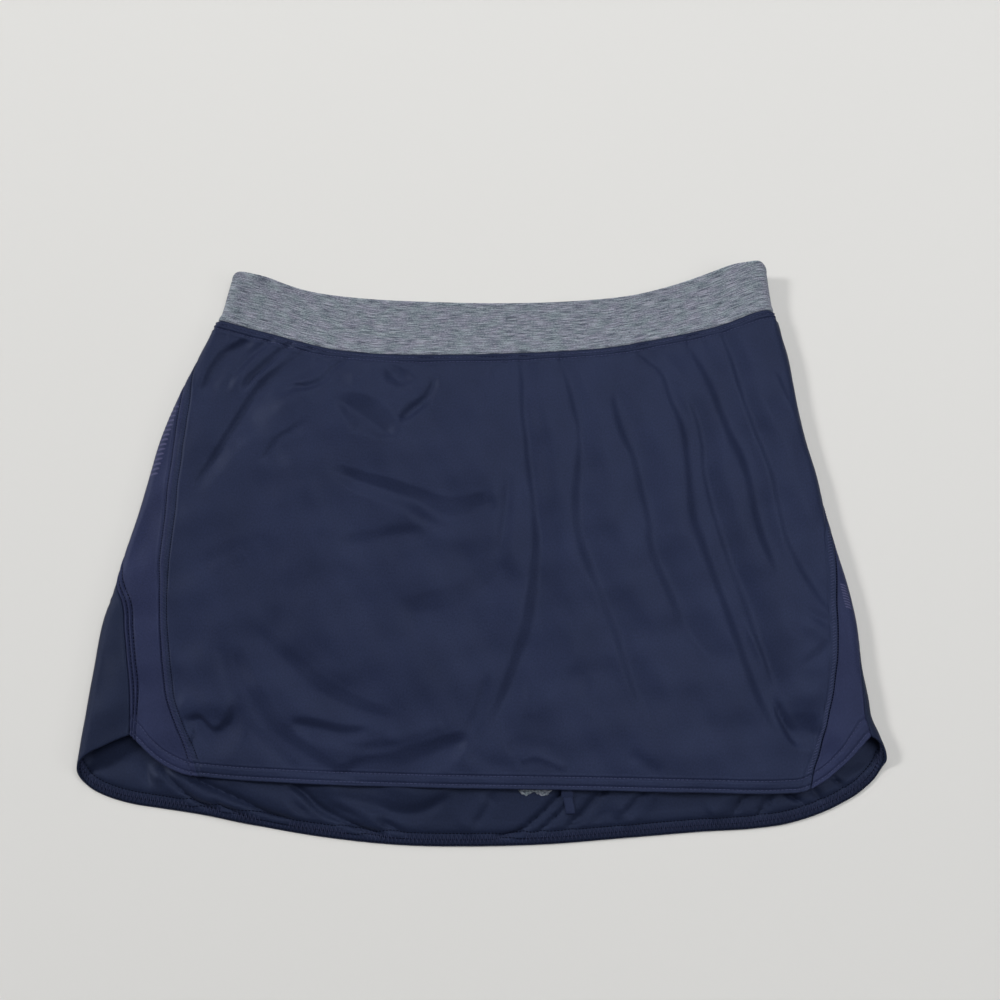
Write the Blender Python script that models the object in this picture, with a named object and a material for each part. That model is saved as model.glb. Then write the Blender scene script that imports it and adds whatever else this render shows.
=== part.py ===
"""A tennis skort lying flat, front up: a marl waistband, a navy skirt of four panels, and an inner short.

The waistband and the skirt are one flattened tube. Two numbers name a point of it:
  ring  how far round: 0 at the left fold, up to 1 over the front layer, 1 at the right fold,
        and 1 to 2 back under the garment; it turns in equal steps of angle, so it is close-set at the folds
  down  0 at the waist seam, 1 at the hem, and -1 at the top edge of the waistband
Each sewn piece is a patch of that tube between its seams, with the wall thickness of its cloth.

Sizes are in millimetres and become metres when a mesh is made. +X is to the viewer's right, +Y is towards
the waist and +Z is up. Left and right are the viewer's.
"""

from collections import namedtuple

import bmesh
import bpy
import numpy as np

MM = 0.001
FRONT, BACK = 1, -1  # the layer that a point lies on

SKIRT_LENGTH, WAISTBAND_HEIGHT = 290.0, 38.0

# Cloth walls and the gaps that are left between pieces.
SKIRT_WALL = 1.2
HEM_WALL = 1.8
HEM_BAND, HEM_BLEND = 10.0, 6.0  # the turned-up hem's height, and where it thins above that
WAISTBAND_WALL = 2.0
SEAM_GAP = 0.3
WAIST_GAP = 0.5  # wider, because the panels' and the waistband's facets don't share their corners
SHORT_WALL = 2.4
SHORT_ROUND = 1.2

Outline = namedtuple("Outline", "y left right")
OUTLINE = (  # the two folded sides of the garment, seen from above
    Outline(200, -171.5, 199.8),
    Outline(190, -174.8, 200.8),
    Outline(170, -179.6, 202.8),
    Outline(160, -181.8, 203.9),
    Outline(155, -183.2, 205.2),
    Outline(149, -186.6, 207.3),
    Outline(140, -190.2, 209.0),
    Outline(124, -196.6, 212.5),
    Outline(107, -203.8, 214.5),
    Outline(89, -210.6, 216.5),
    Outline(63, -218.6, 220.5),
    Outline(38, -223.6, 226.0),
    Outline(13, -228.6, 229.5),
    Outline(-12, -234.6, 235.0),
    Outline(-36, -239.6, 240.5),
    Outline(-59, -245.3, 244.0),
    Outline(-90, -248.2, 245.2),
    Outline(-108, -249.7, 247.4),
    Outline(-121, -250.6, 248.6),
    Outline(-130, -251.4, 252.0),
    Outline(-143, -252.2, 255.6),
    Outline(-154, -252.6, 255.8),
    Outline(-200, -252.6, 255.8),
)

Loft = namedtuple("Loft", "y left right")
LOFT = (  # how much higher than the rest the cloth stands where it turns at each fold
    Loft(196, 9.0, 10.5),
    Loft(155, 5.6, 6.5),
    Loft(100, 2.2, 2.6),
    Loft(0, 1.5, 2.0),
    Loft(-60, 2.4, 2.4),
    Loft(-110, 4.0, 3.4),
    Loft(-154, 5.6, 4.6),
    Loft(-200, 5.6, 4.6),
)
LOFT_REACH = 55.0  # from a fold to where the cloth is down again
FOLD_DEPTH = 0.58  # plan depth of a fold's rounding over its height

Rest = namedtuple("Rest", "down height")
REST = (  # outer height of the front layer away from the folds
    Rest(-1.0, 5.4),
    Rest(-0.04, 5.6),
    Rest(0.04, 6.2),
    Rest(0.12, 7.4),
    Rest(0.8, 7.4),
    Rest(1.0, 6.6),
)

Edge = namedtuple("Edge", "x y layer", defaults=(FRONT,))
FRONT_WAIST = (
    Edge(-185, 152), Edge(-173, 148), Edge(-161, 145), Edge(-145, 141.5), Edge(-125, 136), Edge(-104, 131),
    Edge(-85, 128.5), Edge(-60, 127), Edge(-15, 127), Edge(46, 129), Edge(87, 132), Edge(118, 137.5),
    Edge(149, 144), Edge(169, 149), Edge(190, 156), Edge(204.6, 157.5),
)
BACK_WAIST = (
    Edge(-185, 152), Edge(-150, 141), Edge(-110, 131), Edge(-60, 126), Edge(0, 125), Edge(60, 128),
    Edge(110, 134), Edge(160, 145), Edge(204.6, 157.5),
)
FRONT_TOP = (
    Edge(-175.8, 184.5), Edge(-171, 186), Edge(-162.5, 185.6), Edge(-150, 183.3), Edge(-137, 179.2),
    Edge(-117, 174), Edge(-83, 169.5), Edge(-38, 167), Edge(12, 166), Edge(63, 167.5), Edge(108, 172.5),
    Edge(131, 178.5), Edge(154, 186.3), Edge(165, 189.8), Edge(176, 192.7), Edge(187, 193.6),
    Edge(195, 193.8), Edge(200.6, 190),
)
BACK_TOP = (
    Edge(-175.8, 184.5), Edge(-150, 179.5), Edge(-110, 169.5), Edge(-60, 164.5), Edge(0, 163.5),
    Edge(60, 165), Edge(110, 170.5), Edge(154, 182.5), Edge(180, 189), Edge(200.6, 190),
)
FRONT_HEM = (  # from the left side notch to the right one
    Edge(-220.3, -131), Edge(-215, -136), Edge(-207, -143.5), Edge(-200, -148.5), Edge(-192, -152.5),
    Edge(-185, -155), Edge(-169, -157), Edge(-123, -160), Edge(-34, -163), Edge(61, -164.5), Edge(134, -166),
    Edge(190, -166.5), Edge(200, -165.8), Edge(208, -163), Edge(216, -158.5), Edge(225, -151.5),
    Edge(234, -143.5), Edge(242, -135.5), Edge(245.5, -132),
)
BACK_HEM = (  # from the right side notch round the fold, along the back and up to the left notch
    Edge(245.5, -132), Edge(250, -134.5), Edge(253.5, -138.3), Edge(255.6, -144),
    Edge(253.8, -151, BACK), Edge(249.6, -156.6, BACK), Edge(243.6, -162, BACK), Edge(236.8, -167, BACK),
    Edge(226.7, -172.4, BACK), Edge(216.7, -177, BACK), Edge(203.7, -181.5, BACK), Edge(190, -185, BACK),
    Edge(172, -187.4, BACK), Edge(137, -189.5, BACK), Edge(87, -193.4, BACK), Edge(40, -196.9, BACK),
    Edge(0, -198, BACK), Edge(-45, -197.5, BACK), Edge(-94, -193, BACK), Edge(-138, -186, BACK),
    Edge(-172, -179.5, BACK), Edge(-200, -175.4, BACK), Edge(-217, -172.9, BACK), Edge(-229, -170, BACK),
    Edge(-239, -166.4, BACK), Edge(-248, -161.2, BACK), Edge(-252.6, -153.5),
    Edge(-249, -146), Edge(-243, -141.2), Edge(-236, -137.8), Edge(-229, -134.4), Edge(-220.3, -131),
)

# Seams, from the waist to the hem. On the back layer they are hidden and only carry on their line.
LEFT_FRONT_SEAM = (
    Edge(-178, 149.5, BACK), Edge(-199, 119), Edge(-202.5, 95), Edge(-203.5, 78), Edge(-205, 55),
    Edge(-206, 35), Edge(-206.5, 8), Edge(-207.5, -11), Edge(-207, -33), Edge(-204.5, -66), Edge(-200.5, -92),
    Edge(-197, -109), Edge(-192, -121), Edge(-185, -135), Edge(-176, -156.2),
)
LEFT_REAR_SEAM = (
    Edge(-138, 138, BACK), Edge(-172, 90, BACK), Edge(-201, 45, BACK), Edge(-222, 5, BACK),
    Edge(-238.2, -30), Edge(-232.5, -48), Edge(-229.3, -66), Edge(-226, -84), Edge(-223.6, -97),
    Edge(-221.8, -110), Edge(-220.9, -122), Edge(-220.3, -131),
)
RIGHT_FRONT_SEAM = (
    Edge(176, 149, BACK), Edge(190, 100, BACK), Edge(206, 55, BACK), Edge(222, 25, BACK), Edge(231.3, 5),
    Edge(232.8, -9), Edge(233, -23), Edge(231.5, -47), Edge(230, -71), Edge(228, -85), Edge(225.5, -98),
    Edge(222.5, -111), Edge(219.5, -121), Edge(216, -132), Edge(212, -145), Edge(206, -163.7),
)
RIGHT_REAR_SEAM = (
    Edge(138, 139.5, BACK), Edge(160, 90, BACK), Edge(180, 45, BACK), Edge(203, 5, BACK), Edge(222, -33, BACK),
    Edge(238, -60, BACK), Edge(244.8, -74), Edge(243.5, -84), Edge(243, -98), Edge(243, -111),
    Edge(243.5, -122), Edge(245.5, -132),
)

Fold = namedtuple("Fold", "path width rise")
FRONT_FOLDS = (  # the largest ridges and troughs of the front: where they run, half width and height
    Fold(((-112, 128), (-150, 100), (-177, 60), (-190, 30)), 9, -1.5),
    Fold(((-140, 133), (-172, 108), (-190, 70)), 8, 1.2),
    Fold(((-95, 122), (-128, 98), (-150, 55)), 11, 1.6),
    Fold(((-100, 100), (-72, 84), (-50, 62)), 12, 1.8),
    Fold(((-98, 44), (-53, 30), (-17, 17), (10, 24)), 10, -1.7),
    Fold(((-80, 14), (-34, 2), (4, -2), (18, 18)), 13, 2.0),
    Fold(((27, 118), (30, 54), (36, -5), (34, -55), (16, -108), (-7, -128)), 9, -1.5),
    Fold(((44, 118), (47, 54), (52, -5), (60, -60), (72, -120)), 12, 1.6),
    Fold(((63, 118), (63, 42), (66, -10), (84, -76), (108, -138)), 9, -1.4),
    Fold(((84, 112), (88, 40), (98, -20), (118, -90)), 12, 1.4),
    Fold(((100, 98), (110, 20), (124, -50), (150, -100)), 9, -1.2),
    Fold(((124, 122), (146, 60), (158, -20), (190, -125)), 9, -1.6),
    Fold(((150, 126), (168, 50), (180, -20), (204, -95)), 11, 1.8),
    Fold(((176, 128), (184, 40), (194, -10), (222, -58)), 9, -1.3),
    Fold(((-142, -2), (-134, -55), (-105, -92), (-60, -116)), 13, -1.6),
    Fold(((-115, -20), (-100, -60), (-60, -90), (-15, -98)), 16, 2.2),
    Fold(((-168, -40), (-158, -90), (-120, -128)), 12, 1.8),
    Fold(((-88, -149), (-49, -140), (-12, -133)), 9, -1.8),
    Fold(((-20, -150), (0, -128), (20, -96)), 12, 1.6),
    Fold(((192, -128), (204, -126), (214, -130)), 11, -1.6),
    Fold(((-188, -118), (-172, -126), (-160, -119)), 7, -1.6),
)
BACK_FOLDS = (  # ridges of the longer back panel where it shows below the front
    Fold(((-212, -146), (-180, -164), (-132, -180)), 7, 2.6),
    Fold(((-165, -150), (-140, -166), (-104, -180)), 7, 2.2),
    Fold(((-110, -155), (-80, -172), (-56, -186)), 7, 2.4),
    Fold(((-66, -158), (-38, -166), (-14, -162)), 7, 1.8),
    Fold(((-12, -190), (-2, -180), (6, -168)), 6, 1.6),
    Fold(((112, -158), (98, -172), (84, -183)), 7, 2.0),
    Fold(((160, -162), (150, -174), (142, -180)), 6, 1.4),
)
BACK_FOLDS_TOP, BACK_FOLDS_FADE = -146.0, 12.0  # they die out under the front, below the short's hems
FOLD_FADE = 0.22  # the part of a fold's length over which it rises at each end
FOLDS_CLEAR = 30.0  # how far from the garment's sides they are at full height
FOLDS_START = 0.06  # how far down the skirt they are at full height

Leg = namedtuple("Leg", "x top bottom")
RIGHT_LEG = (  # the inner short's leg, station by station across; its hem dips where a bit of it shows
    Leg(0.15, 122, -64), Leg(7, 122, -88), Leg(13, 122, -120), Leg(19, 122, -150), Leg(22.5, 122, -162),
    Leg(26, 122, -167), Leg(29, 122, -168), Leg(33.5, 122, -166), Leg(38, 122, -168), Leg(43, 122, -167),
    Leg(46, 123, -163.5), Leg(50, 123, -158.3), Leg(62, 124, -157.5), Leg(72, 124.5, -152), Leg(90, 126, -146),
    Leg(120, 132, -145), Leg(150, 139, -144), Leg(176, 144, -142), Leg(190, 130, -140), Leg(203, 80, -134),
    Leg(212, 20, -126), Leg(219, -50, -112),
)
LEFT_LEG = (
    Leg(-0.15, 122, -64), Leg(-8, 122, -92), Leg(-15, 122, -124), Leg(-22, 122, -140), Leg(-32, 122, -144),
    Leg(-60, 122.5, -144), Leg(-95, 125, -142), Leg(-130, 132, -140), Leg(-156, 138, -138),
    Leg(-168, 128, -136), Leg(-185, 85, -130), Leg(-200, 30, -120), Leg(-214, -40, -106),
)
SHORT_FLOOR = SKIRT_WALL + SEAM_GAP

Loop = namedtuple("Loop", "y x width height")
HANGING_LOOP = (  # a doubled strip of cloth from the leg's hem, section by section down its length
    Loop(-158.6, 56.0, 9.0, 1.5),
    Loop(-163.0, 56.2, 9.2, 2.0),
    Loop(-169.0, 56.6, 8.8, 2.4),
    Loop(-174.0, 57.2, 8.2, 2.2),
    Loop(-179.0, 57.6, 6.6, 1.4),
)

# Rows and columns of the cloth's sections.
SKIRT_DOWNS = (0.0, 0.02, 0.06, 0.11, 0.16, 0.21, 0.26, 0.31, 0.36, 0.41, 0.46, 0.51, 0.56, 0.61, 0.66,
               0.71, 0.76, 0.81, 0.86, 0.905, 0.94, 0.965, 1.0)
WAISTBAND_DOWNS = (0.0, -0.12, -0.4, -0.7, -0.92, -1.0)
WAISTBAND_COLUMNS = 72
RING_SPACING = 0.028  # between the lines of points that run down the skirt
SQUEEZED = 0.003  # and between those that a seam has gathered along itself

NAVY = (0.024, 0.031, 0.064, 1.0)
NAVY_SIDE = (0.031, 0.036, 0.082, 1.0)
NAVY_INSIDE = (0.018, 0.023, 0.048, 1.0)
MARL = (0.20, 0.22, 0.26, 1.0)
Cloth = namedtuple("Cloth", "color roughness")
CLOTHS = {
    "navy_knit": Cloth(NAVY, 0.62),
    "navy_side_knit": Cloth(NAVY_SIDE, 0.58),
    "navy_back_knit": Cloth(NAVY_INSIDE, 0.7),
    "marl_knit": Cloth(MARL, 0.85),
}


def smooth(at, xs, ys):
    """A smooth line through the points (xs, ys), read at each of `at`."""
    xs, ys = np.asarray(xs, float), np.asarray(ys, float)
    slopes = np.gradient(ys, xs)
    at = np.clip(at, xs[0], xs[-1])
    i = np.clip(np.searchsorted(xs, at) - 1, 0, len(xs) - 2)
    span = xs[i + 1] - xs[i]
    f = (at - xs[i]) / span
    start = (1 + 2 * f) * (1 - f) ** 2 * ys[i] + f * (1 - f) ** 2 * span * slopes[i]
    return start + f * f * (3 - 2 * f) * ys[i + 1] + f * f * (f - 1) * span * slopes[i + 1]


def step(f):
    """0 to 1 with level ends, as f goes from 0 to 1."""
    f = np.clip(f, 0, 1)
    return f * f * (3 - 2 * f)


def column(table, name):
    return np.array([getattr(row, name) for row in table], float)


def fold_sides(y):
    """The X of the left and the right fold at each y."""
    ys = column(OUTLINE, "y")[::-1]
    return smooth(y, ys, column(OUTLINE, "left")[::-1]), smooth(y, ys, column(OUTLINE, "right")[::-1])


def ring_of(edge):
    """The ring number of a point of the outline; under the garment it is below 0 or above 1."""
    left, right = fold_sides(edge.y)
    across = np.clip((edge.x - left) / (right - left), 0, 1)
    ring = np.arccos(1 - 2 * across) / np.pi
    if edge.layer == BACK:
        ring = -ring if ring < 0.5 else 2 - ring
    return float(ring)


LEFT_NOTCH, RIGHT_NOTCH = ring_of(FRONT_HEM[0]), ring_of(FRONT_HEM[-1])


def edge_line(ring, front, back):
    """The y of an edge that runs right round: `front` over the front layer, `back` under it."""
    ring = np.mod(ring, 2)
    on_front = smooth(ring, [ring_of(p) for p in front], column(front, "y"))
    on_back = smooth(2 - ring, [ring_of(p) for p in back], column(back, "y"))
    return np.where(ring <= 1, on_front, on_back)


def hem_line(ring):
    ring = np.mod(ring, 2)
    on_front = smooth(ring, [ring_of(p) for p in FRONT_HEM], column(FRONT_HEM, "y"))
    rings = [ring_of(p) for p in BACK_HEM]
    rings = [ring if ring > 0.5 else ring + 2 for ring in rings]
    on_back = smooth(np.where(ring < RIGHT_NOTCH, ring + 2, ring), rings, column(BACK_HEM, "y"))
    return np.where((ring >= LEFT_NOTCH) & (ring <= RIGHT_NOTCH), on_front, on_back)


def plan(ring, down):
    """X and Y of points of the tube, and how far each is from its nearer fold."""
    waist = edge_line(ring, FRONT_WAIST, BACK_WAIST)
    end = np.where(down < 0, edge_line(ring, FRONT_TOP, BACK_TOP), hem_line(ring))
    y = waist + np.abs(down) * (end - waist)
    left, right = fold_sides(y)
    across = (1 - np.cos(np.pi * ring)) / 2
    width = right - left
    return left + across * width, y, across * width, (1 - across) * width


def raised(x, y, folds):
    """The height that the folds add at each point."""
    total = np.zeros(np.shape(x))
    for fold in folds:
        path = np.array(fold.path, float)
        at = np.linspace(0, len(path) - 1, 8 * len(path))
        px, py = smooth(at, range(len(path)), path[:, 0]), smooth(at, range(len(path)), path[:, 1])
        away = np.hypot(x[..., None] - px, y[..., None] - py)
        nearest = away.argmin(axis=-1)
        along = nearest / (len(at) - 1)
        ends = step(along / FOLD_FADE) * step((1 - along) / FOLD_FADE)
        total += fold.rise * np.exp(-((away.min(axis=-1) / fold.width) ** 2)) * ends
    return total


def tube(ring, down):
    """Points of the garment's outer face."""
    x, y, from_left, from_right = plan(ring, down)
    ys = column(LOFT, "y")[::-1]
    loft = (
        smooth(y, ys, column(LOFT, "left")[::-1]) * step(1 - from_left / LOFT_REACH)
        + smooth(y, ys, column(LOFT, "right")[::-1]) * step(1 - from_right / LOFT_REACH)
    )
    rest = smooth(down, column(REST, "down"), column(REST, "height"))
    shoulder = rest + loft
    side = np.minimum(from_left, from_right)
    inside = step(side / FOLDS_CLEAR)
    skirt = step(down / FOLDS_START)
    top = shoulder + raised(x, y, FRONT_FOLDS) * inside * skirt
    under = raised(x, y, BACK_FOLDS) * inside * step((BACK_FOLDS_TOP - y) / BACK_FOLDS_FADE)
    turn = np.clip(side / (shoulder * FOLD_DEPTH), 0, 1)
    bulge = np.sqrt(np.clip(1 - (1 - turn) ** 2, 0, 1))
    middle = shoulder / 2
    on_front = np.mod(ring, 2) <= 1
    z = np.where(on_front, middle + (top - middle) * bulge, middle + (under - middle) * bulge)
    return np.stack([x, y, np.where(z < 1e-9, 0, z)], axis=-1)


def seam(edges):
    """A function from `down` to the seam's ring number."""
    rings = np.array([ring_of(p) for p in edges])
    waist = edge_line(rings, FRONT_WAIST, BACK_WAIST)
    downs = (waist - column(edges, "y")) / (waist - hem_line(rings))
    downs[0], downs[-1] = 0, 1
    return lambda down: smooth(down, downs, rings)


def sideways(line, down, distance):
    """The change of ring number that moves a seam's points this far square to the seam."""
    small = 1e-3
    ring = line(down)
    round_it = (tube(ring + small, down) - tube(ring - small, down)) / (2 * small)
    upper, lower = np.maximum(down - small, 0), np.minimum(down + small, 1)
    along = tube(line(lower), lower) - tube(line(upper), upper)
    along /= np.linalg.norm(along, axis=-1, keepdims=True)
    return distance / np.linalg.norm(np.cross(round_it, along), axis=-1)


def make_material(name):
    cloth = CLOTHS[name]
    material = bpy.data.materials.new(name)
    material.use_nodes = True
    shader = material.node_tree.nodes["Principled BSDF"]
    shader.inputs["Base Color"].default_value = cloth.color
    shader.inputs["Roughness"].default_value = cloth.roughness
    shader.inputs["Metallic"].default_value = 0.0
    return material


def add_object(name, mesh, material):
    mesh.materials.append(material)
    mesh.shade_smooth()
    obj = bpy.data.objects.new(name, mesh)
    bpy.data.collections["tennis_skort"].objects.link(obj)
    return obj


def outward(ring, down):
    """The tube's outward normal at each point."""
    small = 1e-3
    round_it = tube(ring + small, down) - tube(ring - small, down)
    upper, lower = np.clip(down - small, -1, None), np.clip(down + small, None, 1)
    upper = np.where(down >= 0, np.maximum(upper, 0), upper)
    lower = np.where(down < 0, np.minimum(lower, -1e-6), lower)
    normal = np.cross(tube(ring, lower) - tube(ring, upper), round_it)
    return normal / np.linalg.norm(normal, axis=-1, keepdims=True)


def wall_mesh(name, outer, inner, closed=False):
    """A wall between two sheets of points; a closed one runs right round, with no side edges."""
    body = bmesh.new()
    sheets = [[[body.verts.new(point * MM) for point in row] for row in sheet] for sheet in (outer, inner)]
    rows, columns = outer.shape[:2]
    for i in range(rows - 1):
        for j in range(columns if closed else columns - 1):
            k = (j + 1) % columns
            for sheet in sheets:
                body.faces.new((sheet[i][j], sheet[i + 1][j], sheet[i + 1][k], sheet[i][k]))
    rim = [[(i, j) for j in range(columns)] for i in (0, rows - 1)]
    if closed:
        rim = [line + line[:1] for line in rim]
    else:
        rim += [[(i, j) for i in range(rows)] for j in (0, columns - 1)]
    for line in rim:
        for (i, j), (k, m) in zip(line, line[1:]):
            body.faces.new((sheets[0][i][j], sheets[0][k][m], sheets[1][k][m], sheets[1][i][j]))
    bmesh.ops.recalc_face_normals(body, faces=body.faces)
    mesh = bpy.data.meshes.new(name)
    body.to_mesh(mesh)
    body.free()
    return mesh


def make_panel(name, start, end, material):
    """A skirt panel between two seams, with the doubled cloth of its hem and its top edge."""
    downs = np.array(SKIRT_DOWNS)[:, None]
    downs = np.clip(downs, WAIST_GAP / 2 / SKIRT_LENGTH, 1)
    first = start(downs) + sideways(start, downs, SEAM_GAP / 2)
    last = end(downs) - sideways(end, downs, SEAM_GAP / 2)
    count = int(np.ceil((last.max() - first.min()) / RING_SPACING)) + 1
    lines = first.min() + RING_SPACING * np.arange(count)
    lines += np.round(first.min() / RING_SPACING) * RING_SPACING - first.min()
    from_start, from_end = SQUEEZED * np.arange(count), SQUEEZED * np.arange(count)[::-1]
    rings = np.minimum(np.maximum(lines, first + from_start), last - from_end)
    rings[:, :1], rings[:, -1:] = first, last
    downs = np.broadcast_to(downs, rings.shape)
    points = tube(rings, downs)
    above_band = np.abs(points[..., 1] - hem_line(rings)) - HEM_BAND
    wall = SKIRT_WALL + (HEM_WALL - SKIRT_WALL) * step(1 - above_band / HEM_BLEND)
    inner = points - wall[..., None] * outward(rings, downs)
    return add_object(name, wall_mesh(name, points, inner), material)


def make_waistband(material):
    downs = np.array(WAISTBAND_DOWNS)[:, None]
    downs = np.clip(downs, -1, -WAIST_GAP / 2 / WAISTBAND_HEIGHT)
    rings = np.linspace(0, 2, WAISTBAND_COLUMNS, endpoint=False)
    rings, downs = np.broadcast_arrays(rings, downs)
    points = tube(rings, downs)
    inner = points - WAISTBAND_WALL * outward(rings, downs)
    return add_object("waistband", wall_mesh("waistband", points, inner, closed=True), material)


def loft_mesh(name, sections):
    """A closed body through rings of points."""
    body = bmesh.new()
    rings = [[body.verts.new(point * MM) for point in section] for section in sections]
    for near, far in zip(rings, rings[1:]):
        for i in range(len(near)):
            j = (i + 1) % len(near)
            body.faces.new((near[i], near[j], far[j], far[i]))
    body.faces.new(reversed(rings[0]))
    body.faces.new(rings[-1])
    bmesh.ops.recalc_face_normals(body, faces=body.faces)
    mesh = bpy.data.meshes.new(name)
    body.to_mesh(mesh)
    body.free()
    return mesh


def make_leg(name, stations, material):
    """One leg of the inner short: its hidden layers together, rounded at their edges."""
    round_off = np.array([0.0, 0.13, 0.5, 0.87, 1.0])
    sections = []
    for station in stations:
        middle = SHORT_FLOOR + SHORT_WALL / 2
        half = SHORT_WALL / 2
        inner = np.linspace(station.top - SHORT_ROUND, station.bottom + SHORT_ROUND, 7)[1:-1]
        cap = SHORT_ROUND * np.sqrt(1 - (1 - round_off) ** 2)
        y = np.concatenate([station.top - SHORT_ROUND + cap[::-1][:-1], inner, station.bottom + SHORT_ROUND - cap])
        z = np.concatenate([half * round_off[:-1], np.full(5, half), half * (1 - round_off)])
        y = np.concatenate([y, y[::-1][1:-1]])
        z = np.concatenate([z, -z[::-1][1:-1]])
        sections.append(np.stack([np.full(len(y), station.x), y, middle + z], axis=-1))
    return add_object(name, loft_mesh(name, sections), material)


def make_hanging_loop(material):
    turn = np.linspace(0, 2 * np.pi, 12, endpoint=False)
    flat = np.abs(np.cos(turn)) ** 0.4 * np.sign(np.cos(turn))
    tall = np.abs(np.sin(turn)) ** 0.7 * np.sign(np.sin(turn))
    sections = [
        np.stack(
            [
                row.x + row.width / 2 * flat,
                np.full(len(turn), row.y),
                SHORT_FLOOR + row.height / 2 * (1 + tall),
            ],
            axis=-1,
        )
        for row in HANGING_LOOP
    ]
    return add_object("hanging_loop", loft_mesh("hanging_loop", sections), material)


def centre_on_origin(objects):
    """Moves the whole garment so that its box stands on the origin."""
    bpy.context.view_layer.update()
    corners = np.array([corner[:] for obj in objects for corner in obj.bound_box])
    middle = (corners.min(axis=0) + corners.max(axis=0)) / 2
    for obj in objects:
        obj.location = (-middle[0], -middle[1], 0.0)


def clear_scene():
    for obj in list(bpy.data.objects):
        bpy.data.objects.remove(obj)
    bpy.context.scene.collection.children.link(bpy.data.collections.new("tennis_skort"))


def main():
    clear_scene()
    materials = {name: make_material(name) for name in CLOTHS}
    left_front, left_rear = seam(LEFT_FRONT_SEAM), seam(LEFT_REAR_SEAM)
    right_front, right_rear = seam(RIGHT_FRONT_SEAM), seam(RIGHT_REAR_SEAM)
    navy, side, back, marl = (materials[name] for name in CLOTHS)
    pieces = [
        make_waistband(marl),
        make_panel("front_panel", left_front, right_front, navy),
        make_panel("side_panel_left", left_rear, left_front, side),
        make_panel("side_panel_right", right_front, right_rear, side),
        make_panel("back_panel", right_rear, lambda down: left_rear(down) + 2, back),
        make_leg("inner_short_left", LEFT_LEG, marl),
        make_leg("inner_short_right", RIGHT_LEG, marl),
        make_hanging_loop(navy),
    ]
    centre_on_origin(pieces)


main()
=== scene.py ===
"""The looks of a tennis skort that lies flat: knit shells, sewing, ventilation bars, light and camera.

The tables give the garment's form in millimetres, +X to the viewer's right, +Y towards the waist and +Z up.
Left and right are the viewer's. Two numbers name a point of the flattened tube that the garment is:
  ring  how far round: 0 at the left fold, up to 1 over the front layer, 1 at the right fold,
        and 1 to 2 back under the garment; it turns in equal steps of angle, so it is close-set at the folds
  down  0 at the waist seam, 1 at the hem, and -1 at the top edge of the waistband
Every piece is a thin shell on the form of the frame's solids, with finer creases than they have.
"""

import math
from collections import namedtuple

import bpy
import numpy as np
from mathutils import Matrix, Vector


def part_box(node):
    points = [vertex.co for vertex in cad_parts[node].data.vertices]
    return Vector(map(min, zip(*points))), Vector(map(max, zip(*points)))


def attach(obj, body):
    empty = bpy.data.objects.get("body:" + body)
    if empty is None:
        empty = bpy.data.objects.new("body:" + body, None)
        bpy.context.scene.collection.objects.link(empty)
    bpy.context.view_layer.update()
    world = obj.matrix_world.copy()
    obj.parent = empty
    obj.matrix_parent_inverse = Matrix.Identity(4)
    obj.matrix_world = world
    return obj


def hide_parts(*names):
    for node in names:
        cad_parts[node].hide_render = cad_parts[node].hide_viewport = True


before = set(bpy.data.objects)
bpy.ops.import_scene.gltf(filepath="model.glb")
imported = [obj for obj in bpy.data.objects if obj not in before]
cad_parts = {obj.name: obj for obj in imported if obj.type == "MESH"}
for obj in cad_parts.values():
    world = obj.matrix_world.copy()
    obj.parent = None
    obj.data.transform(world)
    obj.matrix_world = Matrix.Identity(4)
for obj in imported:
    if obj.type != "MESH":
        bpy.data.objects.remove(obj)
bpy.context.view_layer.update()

MM = 0.001
FRONT, BACK = 1, -1  # the layer that a point lies on


def table(fields, *rows, defaults=()):
    """Rows of values that are read by name."""
    row_type = namedtuple("Row", fields, defaults=defaults)
    return tuple(row_type(*row) for row in rows)


def on_layer(layer, *places):
    """Points (x, y) of an edge or a seam."""
    return table("x y layer", *[(x, y, layer) for x, y in places])


def ridges(*rows):
    """Ridges and troughs: path, half width and height. A `lean` makes one side wider than the other."""
    return table("path width rise lean", *rows, defaults=(0.0,))


def falls(*rows):
    """Where the cloth drops in a narrow slope and comes up again gently: slope, way back and path.

    A path has x, y and the slope's width there. The cloth drops to the left of somebody who goes along it,
    and takes `back` widths to come up again.
    """
    return table("slope back path", *rows)


# ---------------------------------------------------------------- the solids' form

SKIRT_LENGTH = 290.0
SKIRT_WALL, SEAM_GAP = 1.2, 0.3
SHORT_WALL = 2.4
SHORT_FLOOR = SKIRT_WALL + SEAM_GAP
HEM_BAND, HEM_BLEND = 10.0, 6.0  # the height of a turned-up hem, and of where its thickness runs out

OUTLINE = table(  # the two folded sides of the garment, seen from above
    "y left right",
    (200, -171.5, 199.8), (190, -174.8, 200.8), (170, -179.6, 202.8), (160, -181.8, 203.9),
    (155, -183.2, 205.2), (149, -186.6, 207.3), (140, -190.2, 209.0), (124, -196.6, 212.5),
    (107, -203.8, 214.5), (89, -210.6, 216.5), (63, -218.6, 220.5), (38, -223.6, 226.0),
    (13, -228.6, 229.5), (-12, -234.6, 235.0), (-36, -239.6, 240.5), (-59, -245.3, 244.0),
    (-90, -248.2, 245.2), (-108, -249.7, 247.4), (-121, -250.6, 248.6), (-130, -251.4, 252.0),
    (-143, -252.2, 255.6), (-154, -252.6, 255.8), (-200, -252.6, 255.8),
)
LOFT = table(  # how much higher than the rest the cloth stands where it turns at each fold
    "y left right",
    (196, 9.0, 10.5), (155, 5.6, 6.5), (100, 2.2, 2.6), (0, 1.5, 2.0), (-60, 2.4, 2.4), (-110, 4.0, 3.4),
    (-154, 5.6, 4.6), (-200, 5.6, 4.6),
)
LOFT_REACH = 55.0  # from a fold to where the cloth is down again
FOLD_DEPTH = 0.58  # plan depth of a fold's rounding over its height
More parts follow.
